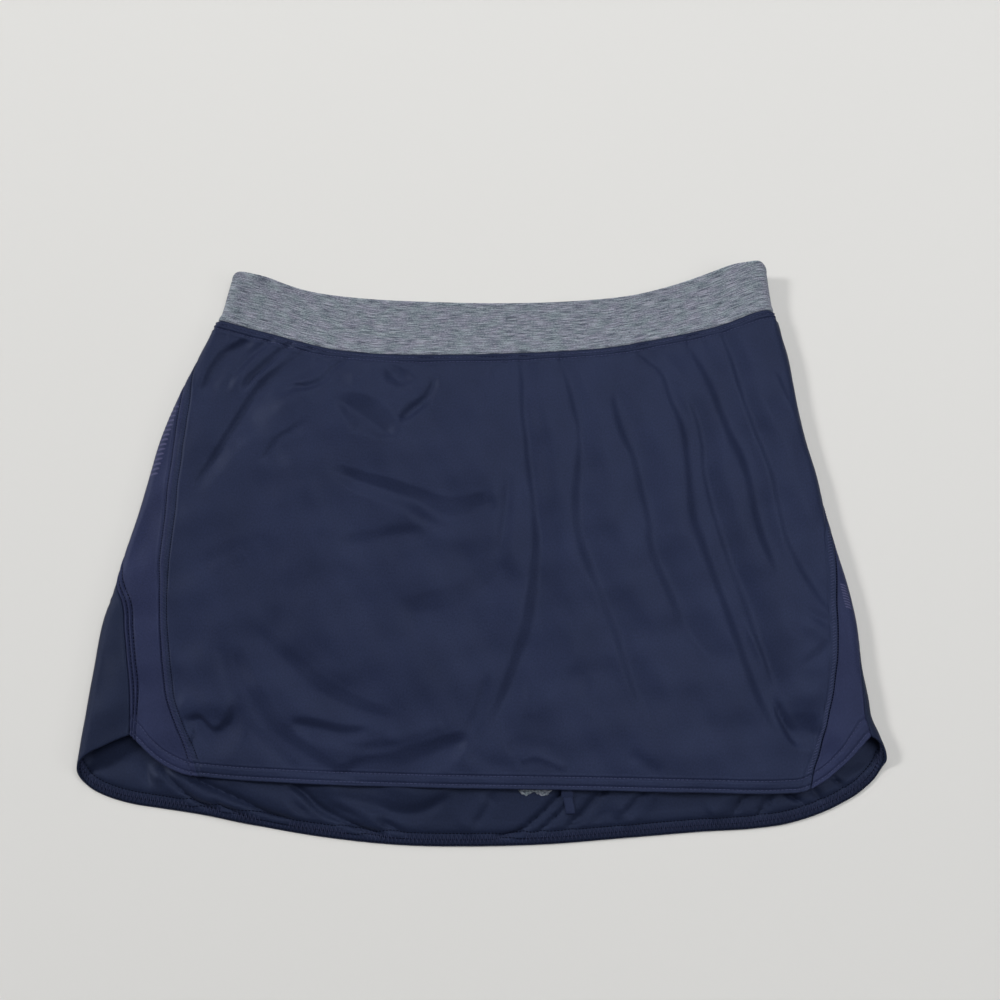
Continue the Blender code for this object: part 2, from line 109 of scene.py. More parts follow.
REST = table(  # outer height of the front layer away from the folds
    "down height",
    (-1.0, 5.4), (-0.04, 5.6), (0.04, 6.2), (0.12, 7.4), (0.8, 7.4), (1.0, 6.6),
)

FRONT_WAIST = on_layer(
    FRONT, (-185, 152), (-173, 148), (-161, 145), (-145, 141.5), (-125, 136), (-104, 131), (-85, 128.5),
    (-60, 127), (-15, 127), (46, 129), (87, 132), (118, 137.5), (149, 144), (169, 149), (190, 156),
    (204.6, 157.5)
)
BACK_WAIST = on_layer(
    FRONT, (-185, 152), (-150, 141), (-110, 131), (-60, 126), (0, 125), (60, 128), (110, 134), (160, 145),
    (204.6, 157.5)
)
FRONT_TOP = on_layer(
    FRONT, (-175.8, 185.3), (-174, 186.2), (-170, 186.5), (-162.5, 185.6), (-150, 183.3), (-137, 179.2),
    (-117, 174), (-83, 169.5), (-38, 167), (12, 166), (63, 167.5), (108, 172.5), (131, 178.5),
    (154, 186.3), (165, 189.8), (176, 192.7), (187, 193.6), (195, 193.8), (200.6, 190)
)
BACK_TOP = on_layer(
    FRONT, (-175.8, 185.3), (-150, 179.5), (-110, 169.5), (-60, 164.5), (0, 163.5), (60, 165),
    (110, 170.5), (154, 182.5), (180, 189), (200.6, 190)
)
FRONT_HEM = on_layer(  # from the left side notch to the right one
    FRONT, (-220.3, -131), (-215, -136), (-207, -143.5), (-200, -148.5), (-192, -152.5), (-185, -155),
    (-169, -157), (-123, -160), (-34, -163), (61, -164.5), (134, -166), (190, -166.5), (200, -165.8),
    (208, -163), (216, -158.5), (225, -151.5), (234, -143.5), (242, -135.5), (245.5, -132)
)
BACK_HEM = on_layer(  # from the right side notch round the fold, along the back and up to the left notch
    FRONT, (245.5, -132), (250, -134.5), (253.5, -138.3), (255.6, -144)
) + on_layer(
    BACK, (253.8, -151), (249.6, -156.6), (243.6, -162), (236.8, -167), (226.7, -172.4), (216.7, -177),
    (203.7, -181.5), (190, -185), (172, -187.4), (137, -189.5), (87, -193.4), (40, -196.9), (0, -198),
    (-45, -197.5), (-94, -193), (-138, -186), (-172, -179.5), (-200, -175.4), (-217, -172.9),
    (-229, -170), (-239, -166.4), (-248, -161.2)
) + on_layer(
    FRONT, (-252.6, -153.5), (-249, -146), (-243, -141.2), (-236, -137.8), (-229, -134.4), (-220.3, -131)
)

# Seams, from the waist to the hem. On the back layer they are hidden and only carry on their line.
LEFT_FRONT_SEAM = on_layer(BACK, (-178, 149.5)) + on_layer(
    FRONT, (-199, 119), (-202.5, 95), (-203.5, 78), (-205, 55), (-206, 35), (-206.5, 8), (-207.5, -11),
    (-207, -33), (-204.5, -66), (-200.5, -92), (-197, -109), (-192, -121), (-185, -135), (-176, -156.2)
)
LEFT_REAR_SEAM = on_layer(BACK, (-138, 138), (-172, 90), (-201, 45), (-222, 5)) + on_layer(
    FRONT, (-238.2, -30), (-232.5, -48), (-229.3, -66), (-226, -84), (-223.6, -97), (-221.8, -110),
    (-220.9, -122), (-220.3, -131)
)
RIGHT_FRONT_SEAM = on_layer(BACK, (176, 149), (190, 100), (206, 55), (222, 25)) + on_layer(
    FRONT, (231.3, 5), (232.8, -9), (233, -23), (231.5, -47), (230, -71), (228, -85), (225.5, -98),
    (222.5, -111), (219.5, -121), (216, -132), (212, -145), (206, -163.7)
)
RIGHT_REAR_SEAM = (
    *on_layer(BACK, (138, 139.5), (160, 90), (180, 45), (203, 5), (222, -33), (238, -60)),
    *on_layer(FRONT, (244.8, -74), (243.5, -84), (243, -98), (243, -111), (243.5, -122), (245.5, -132)),
)

FRONT_FOLDS = ridges(  # the largest ones of the front
    (((-112, 128), (-150, 100), (-177, 60), (-190, 30)), 9, -1.5),
    (((-140, 133), (-172, 108), (-190, 70)), 8, 1.2),
    (((-95, 122), (-128, 98), (-150, 55)), 11, 1.6),
    (((-100, 100), (-72, 84), (-50, 62)), 12, 1.8),
    (((-98, 44), (-53, 30), (-17, 17), (10, 24)), 10, -1.7),
    (((-80, 14), (-34, 2), (4, -2), (18, 18)), 13, 2.0),
    (((27, 118), (30, 54), (36, -5), (34, -55), (16, -108), (-7, -128)), 9, -1.5),
    (((44, 118), (47, 54), (52, -5), (60, -60), (72, -120)), 12, 1.6),
    (((63, 118), (63, 42), (66, -10), (84, -76), (108, -138)), 9, -1.4),
    (((84, 112), (88, 40), (98, -20), (118, -90)), 12, 1.4),
    (((100, 98), (110, 20), (124, -50), (150, -100)), 9, -1.2),
    (((124, 122), (146, 60), (158, -20), (190, -125)), 9, -1.6),
    (((150, 126), (168, 50), (180, -20), (204, -95)), 11, 1.8),
    (((176, 128), (184, 40), (194, -10), (222, -58)), 9, -1.3),
    (((-142, -2), (-134, -55), (-105, -92), (-60, -116)), 13, -1.6),
    (((-115, -20), (-100, -60), (-60, -90), (-15, -98)), 16, 2.2),
    (((-168, -40), (-158, -90), (-120, -128)), 12, 1.8),
    (((-88, -149), (-49, -140), (-12, -133)), 9, -1.8),
    (((-20, -150), (0, -128), (20, -96)), 12, 1.6),
    (((192, -128), (204, -126), (214, -130)), 11, -1.6),
    (((-188, -118), (-172, -126), (-160, -119)), 7, -1.6),
)
BACK_FOLDS = ridges(  # of the back panel where it shows below the front
    (((-212, -146), (-180, -164), (-132, -180)), 7, 2.6),
    (((-165, -150), (-140, -166), (-104, -180)), 7, 2.2),
    (((-110, -155), (-80, -172), (-56, -186)), 7, 2.4),
    (((-66, -158), (-38, -166), (-14, -162)), 7, 1.8),
    (((-12, -190), (-2, -180), (6, -168)), 6, 1.6),
    (((112, -158), (98, -172), (84, -183)), 7, 2.0),
    (((160, -162), (150, -174), (142, -180)), 6, 1.4),
)
BACK_FOLDS_TOP, BACK_FOLDS_FADE = -146.0, 12.0  # they die out under the front, below the short's hems
FOLD_FADE = 0.22  # the part of a fold's length over which it rises at each end
FOLDS_CLEAR = 30.0  # how far from the garment's sides they are at full height
FOLDS_START = 0.06  # how far down the skirt they are at full height

RIGHT_LEG = table(  # the inner short's leg, station by station across; its hem dips where a bit of it shows
    "x top bottom",
    (0.15, 122, -64), (7, 122, -88), (13, 122, -120), (19, 122, -150), (22.5, 122, -162), (26, 122, -167),
    (29, 122, -168), (33.5, 122, -166), (38, 122, -168), (43, 122, -167), (46, 123, -163.5),
    (50, 123, -158.3), (62, 124, -157.5), (72, 124.5, -152), (90, 126, -146), (120, 132, -145),
    (150, 139, -144), (176, 144, -142), (190, 130, -140), (203, 80, -134), (212, 20, -126),
    (219, -50, -112),
)
LEFT_LEG = table(
    "x top bottom",
    (-0.15, 122, -64), (-8, 122, -92), (-15, 122, -124), (-22, 122, -140), (-32, 122, -144),
    (-60, 122.5, -144), (-95, 125, -142), (-130, 132, -140), (-156, 138, -138), (-168, 128, -136),
    (-185, 85, -130), (-200, 30, -120), (-214, -40, -106),
)

# ---------------------------------------------------------------- finer creases

FRONT_FALLS = falls(
    # fan of pleats below the left of the waistband
    (1.6, 6, ((-159.3, 141.1, 2.6), (-168.5, 135, 2.8), (-179, 128, 3), (-186, 117, 3),
      (-190.5, 104.5, 2.6), (-194, 93, 2))),
    (1.1, 2.4, ((-142, 144, 2), (-150.5, 137, 2.2), (-162, 127, 2.6), (-169, 117.5, 2.6),
      (-175, 106.5, 2.4), (-180.5, 93, 2))),
    (2.4, 1.6, ((-123.4, 146, 2), (-131.5, 138.5, 2), (-145.5, 125.5, 2.4), (-153, 117.5, 2.6),
      (-161, 108, 2.6), (-167.5, 94, 2))),
    (1.7, 8, ((-113.1, 136.4, 3), (-122, 130, 3), (-134.5, 121, 3.4), (-146, 111.5, 3.4),
      (-154.5, 101.5, 3), (-162.5, 88.5, 2.6), (-169.5, 74.5, 2.2), (-176.5, 60.5, 1.8),
      (-183, 48.5, 1.5), (-189.5, 36.5, 1.3), (-194.5, 26, 1.1))),
    (1.2, 1.5, ((-106.2, 131.9, 1.4), (-116, 127, 1.4), (-124, 123, 2), (-128, 119.5, 2),
      (-132.5, 115.5, 1.6))),
    (1.2, 2, ((-88.4, 128.9, 1.6), (-97, 122, 1.6), (-104.5, 116, 2), (-111, 108, 2.4), (-121, 104, 3),
      (-129, 104, 3.2), (-140.5, 96, 2.4))),
    (0.8, 8, ((-120, 82.5, 2), (-127, 73, 2.2), (-138, 65, 2.6), (-146, 54, 2.4), (-151.5, 46, 2))),
    # bumps at the left of the middle
    (0.62, 1.2, ((-54, 63.5, 4), (-62.5, 75, 11), (-74.5, 85.5, 15), (-86.5, 91.5, 11), (-102.5, 96, 4))),
    (1.06, 1.6, ((-34.5, 116, 2), (-35, 104.5, 3.2), (-40, 95, 4), (-49, 87, 4.4), (-54.5, 81, 4),
      (-56.5, 73, 3))),
    (0.62, 1.4, ((-42.5, 106.5, 3), (-51.5, 111, 7), (-59.5, 115, 7), (-66.5, 120.5, 3))),
    # the hook of cloth in the middle, and softer ones below it
    (0.5, 1.5, ((10, 26, 6), (-4, 21, 10), (-16, 17.5, 13), (-28, 19, 12), (-42, 25.5, 9), (-60, 32, 8),
      (-80, 38, 7), (-104, 46, 4))),
    (0.28, 2.4, ((-30, 1, 4), (-52, 1.5, 6), (-66, -1, 7), (-80, -4, 8), (-98, -6, 5))),
    (0.21, 2, ((16, -10, 8), (4, -26, 12), (-8, -38, 14), (-22, -44, 14), (-38, -47, 12), (-56, -48, 8))),
    (0.12, 2.4, ((-136, -2, 5), (-154, -5, 7), (-168, -10, 8), (-194, -23, 5))),
    # long folds down the right half
    (0.27, 1.5, ((18, 50, 1.8), (15, 18, 4), (12, 0, 5), (7, -20, 6))),
    (0.62, 4.2, ((28.1, 145, 2.5), (28, 134, 2.5), (27.5, 90, 3.2), (30, 61, 4), (35.5, 8, 5),
      (36.5, -12, 6), (34.5, -32, 7.5), (32, -50, 8.5), (29, -64, 8.5), (24, -80, 7.5), (13, -108, 6),
      (1, -132, 4.5))),
    (0.34, 1.5, ((3, -90, 3), (0, -104, 3), (-4, -117, 3.5), (-13, -134, 4))),
    (0.44, 4.2, ((47, 146.6, 2.5), (50, 136, 2.5), (57.5, 110, 2.6), (62.5, 86, 3.5), (66, 64, 4),
      (63, 16, 6.5), (66, -8, 6.5), (79, -46, 6.5), (87, -66, 6.5), (92, -86, 5.5), (98.5, -106, 4.5),
      (116, -144, 4))),
    (0.4, 4.2, ((92, 106, 3), (90.5, 90, 4), (95, 69, 5), (103, 48, 5), (111, 6, 5), (111.5, -8, 5.5),
      (126, -50, 6.5), (134, -70, 6), (162, -105, 5))),
    (0.47, 4.2, ((95.1, 149.3, 2.4), (101, 140, 2.4), (110, 126, 2.6), (123, 111.5, 2.6), (129, 93, 2.8),
      (137, 66, 4), (139.5, 20, 6), (144, -4, 6.5), (156, -40, 5.5), (176, -106, 5), (193, -143, 4))),
    (0.61, 4.2, ((134, 104, 2.5), (144.5, 84, 3), (149, 62, 3.5), (149.5, 40, 3.5), (158, -2, 4),
      (169, -38, 5.5), (180, -76, 4.5), (185, -96, 3.6), (190, -112, 3))),
    (0.46, 3.4, ((137.9, 150.2, 3), (142, 140, 3), (152.5, 114, 4.5), (168.5, 66.5, 5.5), (177, 43, 5.5),
      (185.5, -4, 5), (196, -36, 4))),
    (0.65, 4.2, ((161, 162.6, 2.5), (164, 152, 2.5), (171, 127, 2.6), (180, 88, 3), (193.5, 42, 4),
      (200.5, -2, 4.5), (206, -18, 5), (216, -38, 5), (231, -60, 4))),
    # drags to the left of the hem
    (0.26, 2, ((-48, -121, 5), (-80, -110, 8), (-93, -104, 9), (-105, -96.5, 9), (-122, -81, 8),
      (-150, -57, 6))),
    (0.26, 2, ((-74, -159, 4), (-98, -145.5, 6), (-122, -130, 8), (-132, -119, 8), (-147, -96, 8),
      (-160, -70, 6))),
    (0.15, 2, ((-106, -155, 4), (-128, -139, 5), (-147, -121, 6), (-160, -92, 6), (-166, -70, 5))),
    (0.16, 2, ((-170, -116, 4), (-177, -108, 6), (-184, -100, 7), (-190, -91, 6), (-196, -81, 4))),
    (0.6, 2.4, ((-66, -126, 3), (-86, -127, 5), (-106, -123, 5), (-122, -121, 3))),
    (0.15, 1.6, ((-46, -135, 3), (-66, -136, 4), (-94, -136, 3))),
    (0.7, 1.6, ((-6, -129, 4), (-22, -135, 8), (-44, -143, 11), (-57, -147, 11.5), (-70, -148.5, 10),
      (-95, -152, 4))),
    (3, 7, ((-158.5, -110, 1.4), (-159.5, -118.5, 2), (-163, -125, 2.6), (-167.5, -127.5, 3),
      (-172.5, -124.5, 2.8), (-177, -120, 2.6), (-182.5, -120, 2.6), (-190.5, -122, 2))),
    # the pouch at the right of the hem
    (0.45, 0.9, ((219, -122.5, 9), (212, -123.5, 12), (205, -124, 13), (197.5, -122, 11),
      (188.5, -118.5, 5))),
    (1.4, 1.5, ((184.5, -107, 1.4), (187, -113.5, 2), (189, -120.5, 2.4), (193.5, -129.5, 2.4),
      (199, -136.5, 2), (206, -139, 1.4))),
    (0.34, 1.6, ((226, -69, 3), (215, -79, 5), (201, -89, 3))),
    (0.3, 1.6, ((234, -62, 3), (222, -56, 4), (210, -49, 3))),
)
BACK_FALLS = falls(  # in the strip of the back panel that shows below the front
    (0.86, 1.28, ((-225, -134, 2.4), (-216, -149, 4.8), (-207, -166, 4))),
    (1.59, 1.6, ((-156, -176, 1.6), (-171, -172, 2.4), (-180, -167, 2.4), (-194, -156, 2.4),
      (-205, -143, 1.9))),
    (1.73, 1.6, ((-114, -181, 1.9), (-131, -176.5, 2.4), (-150, -168, 3.2), (-170, -160, 3.2),
      (-188, -152, 2.4))),
    (1.14, 1.6, ((-138, -181, 1.6), (-157, -174, 1.9), (-169, -167, 1.6))),
    (0.34, 1, ((-101, -180, 3), (-112, -174, 4), (-122, -165, 3))),
    (1.73, 1.6, ((-56, -191, 1.9), (-72, -186, 2.7), (-85, -180.5, 3.2), (-99, -173.5, 3.2),
      (-110, -164, 2.9), (-124, -157, 2.4))),
    (0.4, 1, ((-70, -181, 3), (-84, -175, 4), (-96, -171, 3))),
    (0.98, 1.6, ((-42, -190, 2.1), (-55, -184, 3.2), (-68, -178, 2.4))),
    (0.38, 1.2, ((-16, -163, 4), (-36, -174, 6), (-50, -175, 6), (-70, -170, 6), (-96, -163, 4))),
    (0.44, 1.2, ((8, -162, 4), (3, -172, 5), (-3, -181, 5), (-10, -190, 4))),
    (2.3, 1.6, ((57, -159, 1.9), (45, -170.5, 2.2), (33, -181.5, 2.2), (22, -188.5, 2.1),
      (6, -191.5, 1.8))),
    (1.43, 1.6, ((56, -168, 1.9), (46, -180, 2.4), (31, -191, 1.9))),
    (1.78, 1.76, ((81, -159, 2.7), (71, -168, 3.2), (62, -178, 3.2), (49, -188, 2.4))),
    (0.34, 1, ((80, -174, 3), (67, -185, 3))),
    (0.86, 1.92, ((104, -159, 3.2), (95, -171, 4), (81, -185, 3.2))),
    (1.43, 1.92, ((168, -159, 1.6), (161, -172, 1.9), (155, -180, 1.6))),
    (1.3, 1.92, ((184, -160, 1.9), (177, -172, 2.4), (170, -181, 1.9))),
    (1.73, 1.6, ((205, -173, 1.6), (196, -167, 2.4), (187, -161, 2.4))),
    (1.43, 2.24, ((232, -166, 1.3), (225, -158, 1.4), (217, -150, 1.3))),
    (0.44, 1.2, ((219, -172, 3), (212, -165, 4), (202, -153, 3))),
)
FALL_ROUNDING = 0.4  # of the two edges of a slope
DEEPEST_FALL = 4.0
FALL_ENDS, LONGEST_END = 13.0, 0.45  # over which it starts and ends, and the most of its length they take

FRONT_CREASES = ridges(
    (((-94, 132), (-94, 84), (-100, 24)), 38.0, 2.4),
    (((60, -152), (130, -154), (200, -152)), 36.0, 1.8),
    (((-168, 139), (-180, 124), (-186, 108), (-193, 88)), 2.6, 0.45),
    (((-150, 132), (-163, 118), (-175, 102)), 3.0, 0.4),
    (((-150, 104), (-162, 78), (-174, 54)), 4.0, 0.5),
    (((-108, 108), (-116, 100), (-122, 90)), 3.0, 0.4),
    (((-100, 106), (-84, 112), (-68, 107)), 9.0, 1.5),
    (((-87.5, 111), (-81, 111)), 2.4, -0.9),
    (((-93, 109), (-79, 109)), 6.0, 0.8),
    (((-47, 99), (-55, 93), (-61.5, 84.5)), 5.0, 1.1),
    (((-72, 88), (-58, 84)), 4.5, 0.6),
    (((-141, 58), (-126, 64), (-116, 70)), 4.5, 0.5),
    (((-3, 108), (0, 96), (0, 84)), 2.6, -0.4),
    (((6, 118), (5, 106)), 2.2, 0.4),
    (((-60, 18), (-40, 9), (-24, 2), (-10, 6), (3, 18), (14, 36)), 5.0, 0.9, -0.2),
    (((-119, 36), (-112, 22), (-106, 10), (-104, -4)), 5.0, 0.4),
    (((-178, -27), (-166, -20), (-153, -14)), 4.0, 0.4),
    (((-152, -4), (-141, -22), (-136, -34), (-130, -54)), 5.0, 0.5),
    (((45, 30), (48, -10), (52, -60), (60, -100)), 9.0, 0.6),
    (((29, -84), (31, -102), (32, -122)), 4.0, 0.4),
    (((72, -92), (71, -106), (68, -122)), 3.0, 0.3),
    (((150, -2), (155, -20), (163, -45), (176, -72), (186, -96), (194, -116), (206, -137)), 1.8, 0.5),
    (((200, 112), (207, 95), (214, 79), (219, 66)), 1.8, 0.6),
    (((206, -66), (216, -64), (222, -74)), 4.5, 0.7),
    (((184.5, -108), (203, -104.5), (221, -108)), 9.0, 1.6),
    (((200, -128), (208, -132), (216, -130)), 5.0, -0.6),
    (((-195.5, -114), (-175, -112.5), (-153, -114)), 8.0, 2.0),
    (((-114, -74), (-100, -88), (-78, -98)), 6.0, 0.5),
    (((-140, -92), (-126, -108), (-112, -124)), 6.0, 0.5),
    (((-62, -134), (-44, -131), (-22, -124)), 4.0, 0.6),
    (((25, -147), (33, -144), (42, -146), (55, -152)), 2.2, 0.8),
    (((16, -141), (28, -136), (48, -140)), 4.0, -0.5),
    (((-8, -140), (4, -148), (24, -151)), 5.0, -0.6),
    (((92, -142), (104, -149), (114, -156)), 4.4, -0.8),
)
CREASE_FADE, CREASE_ENDS = 0.12, 1.2  # like FOLD_FADE, and the same in half widths
CREASES_CLEAR, CREASES_START = 12.0, 0.02  # like FOLDS_CLEAR and FOLDS_START
RIDGE_REACH = 2.6  # half widths, to where a ridge has died out

FOLD_SHARE = 0.4  # of the solids' folds: the finer creases take up the rest
RAISED_BY, RAISED_AT_HEM = 1.5, 1.2  # how much higher than the solids the front lies, for its creases
RAISED_START, RAISED_END = 0.12, 0.9
LOWEST_TOP, SOFT_LIMIT = 5.1, 0.8  # the front stays this high, above the inner short's legs
HIDDEN_SHARE, HIDDEN_LIMIT = 0.25, 0.45  # the underside's hollows, next to the front's troughs
BACK_LIFT, BACK_LIFT_REACH = 2.4, 12.0  # how high the strip below the front stands, and from where at its hem

WAVES = table(  # the cloth's slow unevenness
    "length heading height phase",
    (64, 12, 0.46, 0.3), (47, 71, 0.40, 1.9), (35, -38, 0.31, 4.1), (23, 100, 0.16, 2.6),
    (18, 33, 0.10, 5.2),
)
WAVE_WANDER, WANDER_ACROSS, WANDER_DOWN = 0.7, 57, 41
PUCKERS = table(  # gathers at a seam
    "length height phase",
    (14.0, 0.34, 0.4), (9.1, 0.26, 2.1), (5.6, 0.14, 4.4),
)
PUCKER_REACH, PUCKER_START = 26.0, 3
PUCKER_MEAN, PUCKER_SWING, PUCKER_BEAT = 0.55, 0.45, 5.3  # their height comes and goes along the seam
PUCKER_WANDER, PUCKER_WANDER_LENGTH = 0.8, 19

# The cloth's face near seams and edges: distance from the edge, and height.
HEM_RELIEF = (  # a turned-up hem
    (0.0, 0.0), (0.9, 0.22), (2.3, -0.38), (3.5, 0.18), (5.0, 0.22), (6.4, 0.16), (7.6, -0.52),
    (8.8, 0.10), (10.0, 0.0), (11.0, 0.0),
)
WAIST_RELIEF = (  # below the waist seam, where the turned edges are stitched down
    (0.0, -0.95), (0.9, -0.55), (1.9, 0.25), (2.9, -0.45), (4.2, 0.30), (5.7, -0.55), (7.2, 0.08),
    (9.0, 0.0),
)
FLATLOCK_RELIEF = (  # to each side of a front side seam
    (0.0, -0.10), (0.9, -0.05), (2.2, -0.10), (3.3, -0.65), (4.6, 0.10), (6.0, 0.0),
)
RIDGE_RELIEF = (  # from a rear side seam over the stitched-down allowance
    (0.0, -0.80), (1.3, 0.38), (2.6, -0.62), (3.9, 0.42), (5.4, -0.75), (6.8, 0.10), (8.0, 0.0),
)
LADDER_RELIEF = (  # from the right front seam over the stitched-down allowance
    (0.0, -0.90), (1.0, 0.16), (3.2, 0.20), (5.6, 0.16), (6.8, -0.35), (8.0, 0.04), (10.0, 0.0),
)
EDGE_RELIEF = ((0.0, -0.35), (0.8, 0.06), (2.5, 0.0))  # a plain edge at a seam
INSIDE_HEM_RELIEF = (  # the inside of the back's hem, where the turned-up edge is stitched over
    (0.0, 0.0), (1.0, 0.25), (3.6, 0.38), (6.2, 0.36), (7.4, 0.10), (8.0, -0.18), (9.2, 0.04),
    (11.0, 0.0),
)
PLAIN_HEM_RELIEF = ((0.0, 0.0), (1.0, 0.14), (4.0, 0.08), (8.0, 0.0), (11.0, 0.0))
NO_RELIEF = ((0.0, 0.0), (1.0, 0.0))
BAND_SEAM_RELIEF = ((0.0, -0.5), (0.7, -0.1), (1.8, 0.15), (4.0, 0.0))
BAND_TOP_RELIEF = ((0.0, -0.25), (1.0, 0.15), (2.6, 0.2), (4.2, -0.12), (6.0, 0.0))

CLOTH_WALL, HEM_CLOTH_WALL, BAND_WALL, SHORT_CLOTH_WALL = 0.9, 1.3, 1.9, 0.7
SEAM_SLIT = 0.06  # between the shells of two panels
ROUNDING = np.radians([40.0, 90.0, 140.0])  # the steps of a turned edge
SHARP_ANGLE = 70  # degrees

# From the tables' origin to the frame's.
leg_corner = np.array(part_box("inner_short_right")[0]) / MM
SHIFT = np.array([leg_corner[0] - RIGHT_LEG[0].x, leg_corner[1] - min(leg.bottom for leg in RIGHT_LEG), 0.0])


def smooth(at, xs, ys):
    """A smooth line through the points (xs, ys), read at each of `at`."""
    xs, ys = np.asarray(xs, float), np.asarray(ys, float)
    slopes = np.gradient(ys, xs)
    at = np.clip(at, xs[0], xs[-1])
    i = np.clip(np.searchsorted(xs, at) - 1, 0, len(xs) - 2)
    span = xs[i + 1] - xs[i]
    f = (at - xs[i]) / span
    start = (1 + 2 * f) * (1 - f) ** 2 * ys[i] + f * (1 - f) ** 2 * span * slopes[i]
    return start + f * f * (3 - 2 * f) * ys[i + 1] + f * f * (f - 1) * span * slopes[i + 1]


def step(f):
    """0 to 1 with level ends, as f goes from 0 to 1."""
    f = np.clip(f, 0, 1)
    return f * f * (3 - 2 * f)


def column(rows, name):
    return np.array([getattr(row, name) for row in rows], float)


def read(rows, name, key, at):
    """A table's column as a smooth line over its column `key`."""
    keys = column(rows, key)
    order = np.argsort(keys)
    return smooth(at, keys[order], column(rows, name)[order])


def relief(rows, distance):
    return smooth(distance, *zip(*rows))


def unit(vectors):
    return vectors / np.linalg.norm(vectors, axis=-1, keepdims=True)


def totals(steps):
    """Running totals along the last axis, from 0."""
    return np.concatenate([np.zeros((*steps.shape[:-1], 1)), np.cumsum(steps, axis=-1)], axis=-1)


def steps_along(points):
    return np.linalg.norm(np.diff(points, axis=-2), axis=-1)


# ---------------------------------------------------------------- the garment's form


def fold_sides(y):
    """The X of the left and the right fold at each y."""
    return read(OUTLINE, "left", "y", y), read(OUTLINE, "right", "y", y)


def ring_of(place):
    """The ring number of a point of the outline; under the garment it is below 0 or above 1."""
    left, right = fold_sides(place.y)
    across = np.clip((place.x - left) / (right - left), 0, 1)
    ring = np.arccos(1 - 2 * across) / np.pi
    if place.layer == BACK:
        ring = -ring if ring < 0.5 else 2 - ring
    return float(ring)


def rings_of(places):
    return [ring_of(place) for place in places]


LEFT_NOTCH, RIGHT_NOTCH = ring_of(FRONT_HEM[0]), ring_of(FRONT_HEM[-1])
LINES = {
    name: [(rings_of(places), column(places, "y")) for places in layers]
    for name, layers in {"waist": (FRONT_WAIST, BACK_WAIST), "top": (FRONT_TOP, BACK_TOP)}.items()
}


def edge_line(ring, name):
    """The y of an edge that runs right round."""
    front, back = LINES[name]
    ring = np.mod(ring, 2)
    return np.where(ring <= 1, smooth(ring, *front), smooth(2 - ring, *back))


def hem_line(ring):
    ring = np.mod(ring, 2)
    on_front = smooth(ring, rings_of(FRONT_HEM), column(FRONT_HEM, "y"))
    rings = [r if r > 0.5 else r + 2 for r in rings_of(BACK_HEM)]
    on_back = smooth(np.where(ring < RIGHT_NOTCH, ring + 2, ring), rings, column(BACK_HEM, "y"))
    return np.where((ring >= LEFT_NOTCH) & (ring <= RIGHT_NOTCH), on_front, on_back)


def skirt_length(ring):
    return edge_line(ring, "waist") - hem_line(ring)


def plan(ring, down):
    """X and Y of points of the tube, and how far each is from the left and the right fold."""
    waist = edge_line(ring, "waist")
    end = np.where(down < 0, edge_line(ring, "top"), hem_line(ring))
    y = waist + np.abs(down) * (end - waist)
    left, right = fold_sides(y)
    across = (1 - np.cos(np.pi * ring)) / 2
    width = right - left
    return left + across * width, y, across * width, (1 - across) * width


PATH_POINTS = 12  # for each point of a path


def beside_path(x, y, path, reach):
    """The points near a path, how far to its left each is, and how far along it, from 0 to 1."""
    path = np.array(path, float)
    at = np.linspace(0, len(path) - 1, PATH_POINTS * len(path))
    line = np.stack([smooth(at, range(len(path)), path[:, k]) for k in (0, 1)], axis=-1)
    low, high = line.min(axis=0) - reach, line.max(axis=0) + reach
    near = (x > low[0]) & (x < high[0]) & (y > low[1]) & (y < high[1])
    gap = np.stack([x[near], y[near]], axis=-1)[:, None] - line
    nearest = (gap**2).sum(axis=-1).argmin(axis=1)
    offset = gap[np.arange(len(nearest)), nearest]
    heading = unit(np.gradient(line, axis=0))[nearest]
    beside = heading[:, 0] * offset[:, 1] - heading[:, 1] * offset[:, 0]
    ahead = (heading * offset).sum(axis=1) / np.linalg.norm(line[1] - line[0])
    return near, beside, np.clip((nearest + np.clip(ahead, -0.5, 0.5)) / (len(line) - 1), 0, 1)


def path_length(path):
    return steps_along(np.array(path, float)[:, :2]).sum()


def faded(along, share):
    return step(along / share) * step((1 - along) / share)


def raised(x, y, rows, fade, round_ends=0.0):
    """The height that folds or creases add at each point."""
    total = np.zeros(np.shape(x))
    for row in rows:
        share = min(max(fade, round_ends * row.width / path_length(row.path)), 0.5)
        near, beside, along = beside_path(x, y, row.path, RIDGE_REACH * row.width * (1 + abs(row.lean)))
        width = row.width * (1 + row.lean * np.tanh(beside / row.width))
        total[near] += row.rise * np.exp(-((beside / width) ** 2)) * faded(along, share)
    return total


def fallen(x, y, rows):
    """The height that is lost at each point where the cloth drops and comes up again."""
    total = np.zeros(np.shape(x))
    for row in rows:
        widths = [place[2] for place in row.path]
        share = np.clip(FALL_ENDS / path_length(row.path), CREASE_FADE, LONGEST_END)
        near, beside, along = beside_path(x, y, row.path, (1 + row.back) * max(widths))
        width = np.interp(along * (len(widths) - 1), range(len(widths)), widths)
        edges = np.hypot(beside + width / 2, FALL_ROUNDING) - np.hypot(beside - width / 2, FALL_ROUNDING)
        down = 0.5 + edges / (2 * width)
        up = step((beside - width / 2) / (row.back * width))
        deep = DEEPEST_FALL * np.tanh(row.slope * width / DEEPEST_FALL)
        total[near] += deep * (down - up) * faded(along, share)
    return total


def waves(x, y):
    total = np.zeros(np.shape(x))
    wander = WAVE_WANDER * np.sin(y / WANDER_DOWN + x / WANDER_ACROSS)
    for wave in WAVES:
        heading = math.radians(wave.heading)
        along = x * math.cos(heading) + y * math.sin(heading)
        total += wave.height * np.sin(2 * np.pi * along / wave.length + wave.phase + wander)
    return total


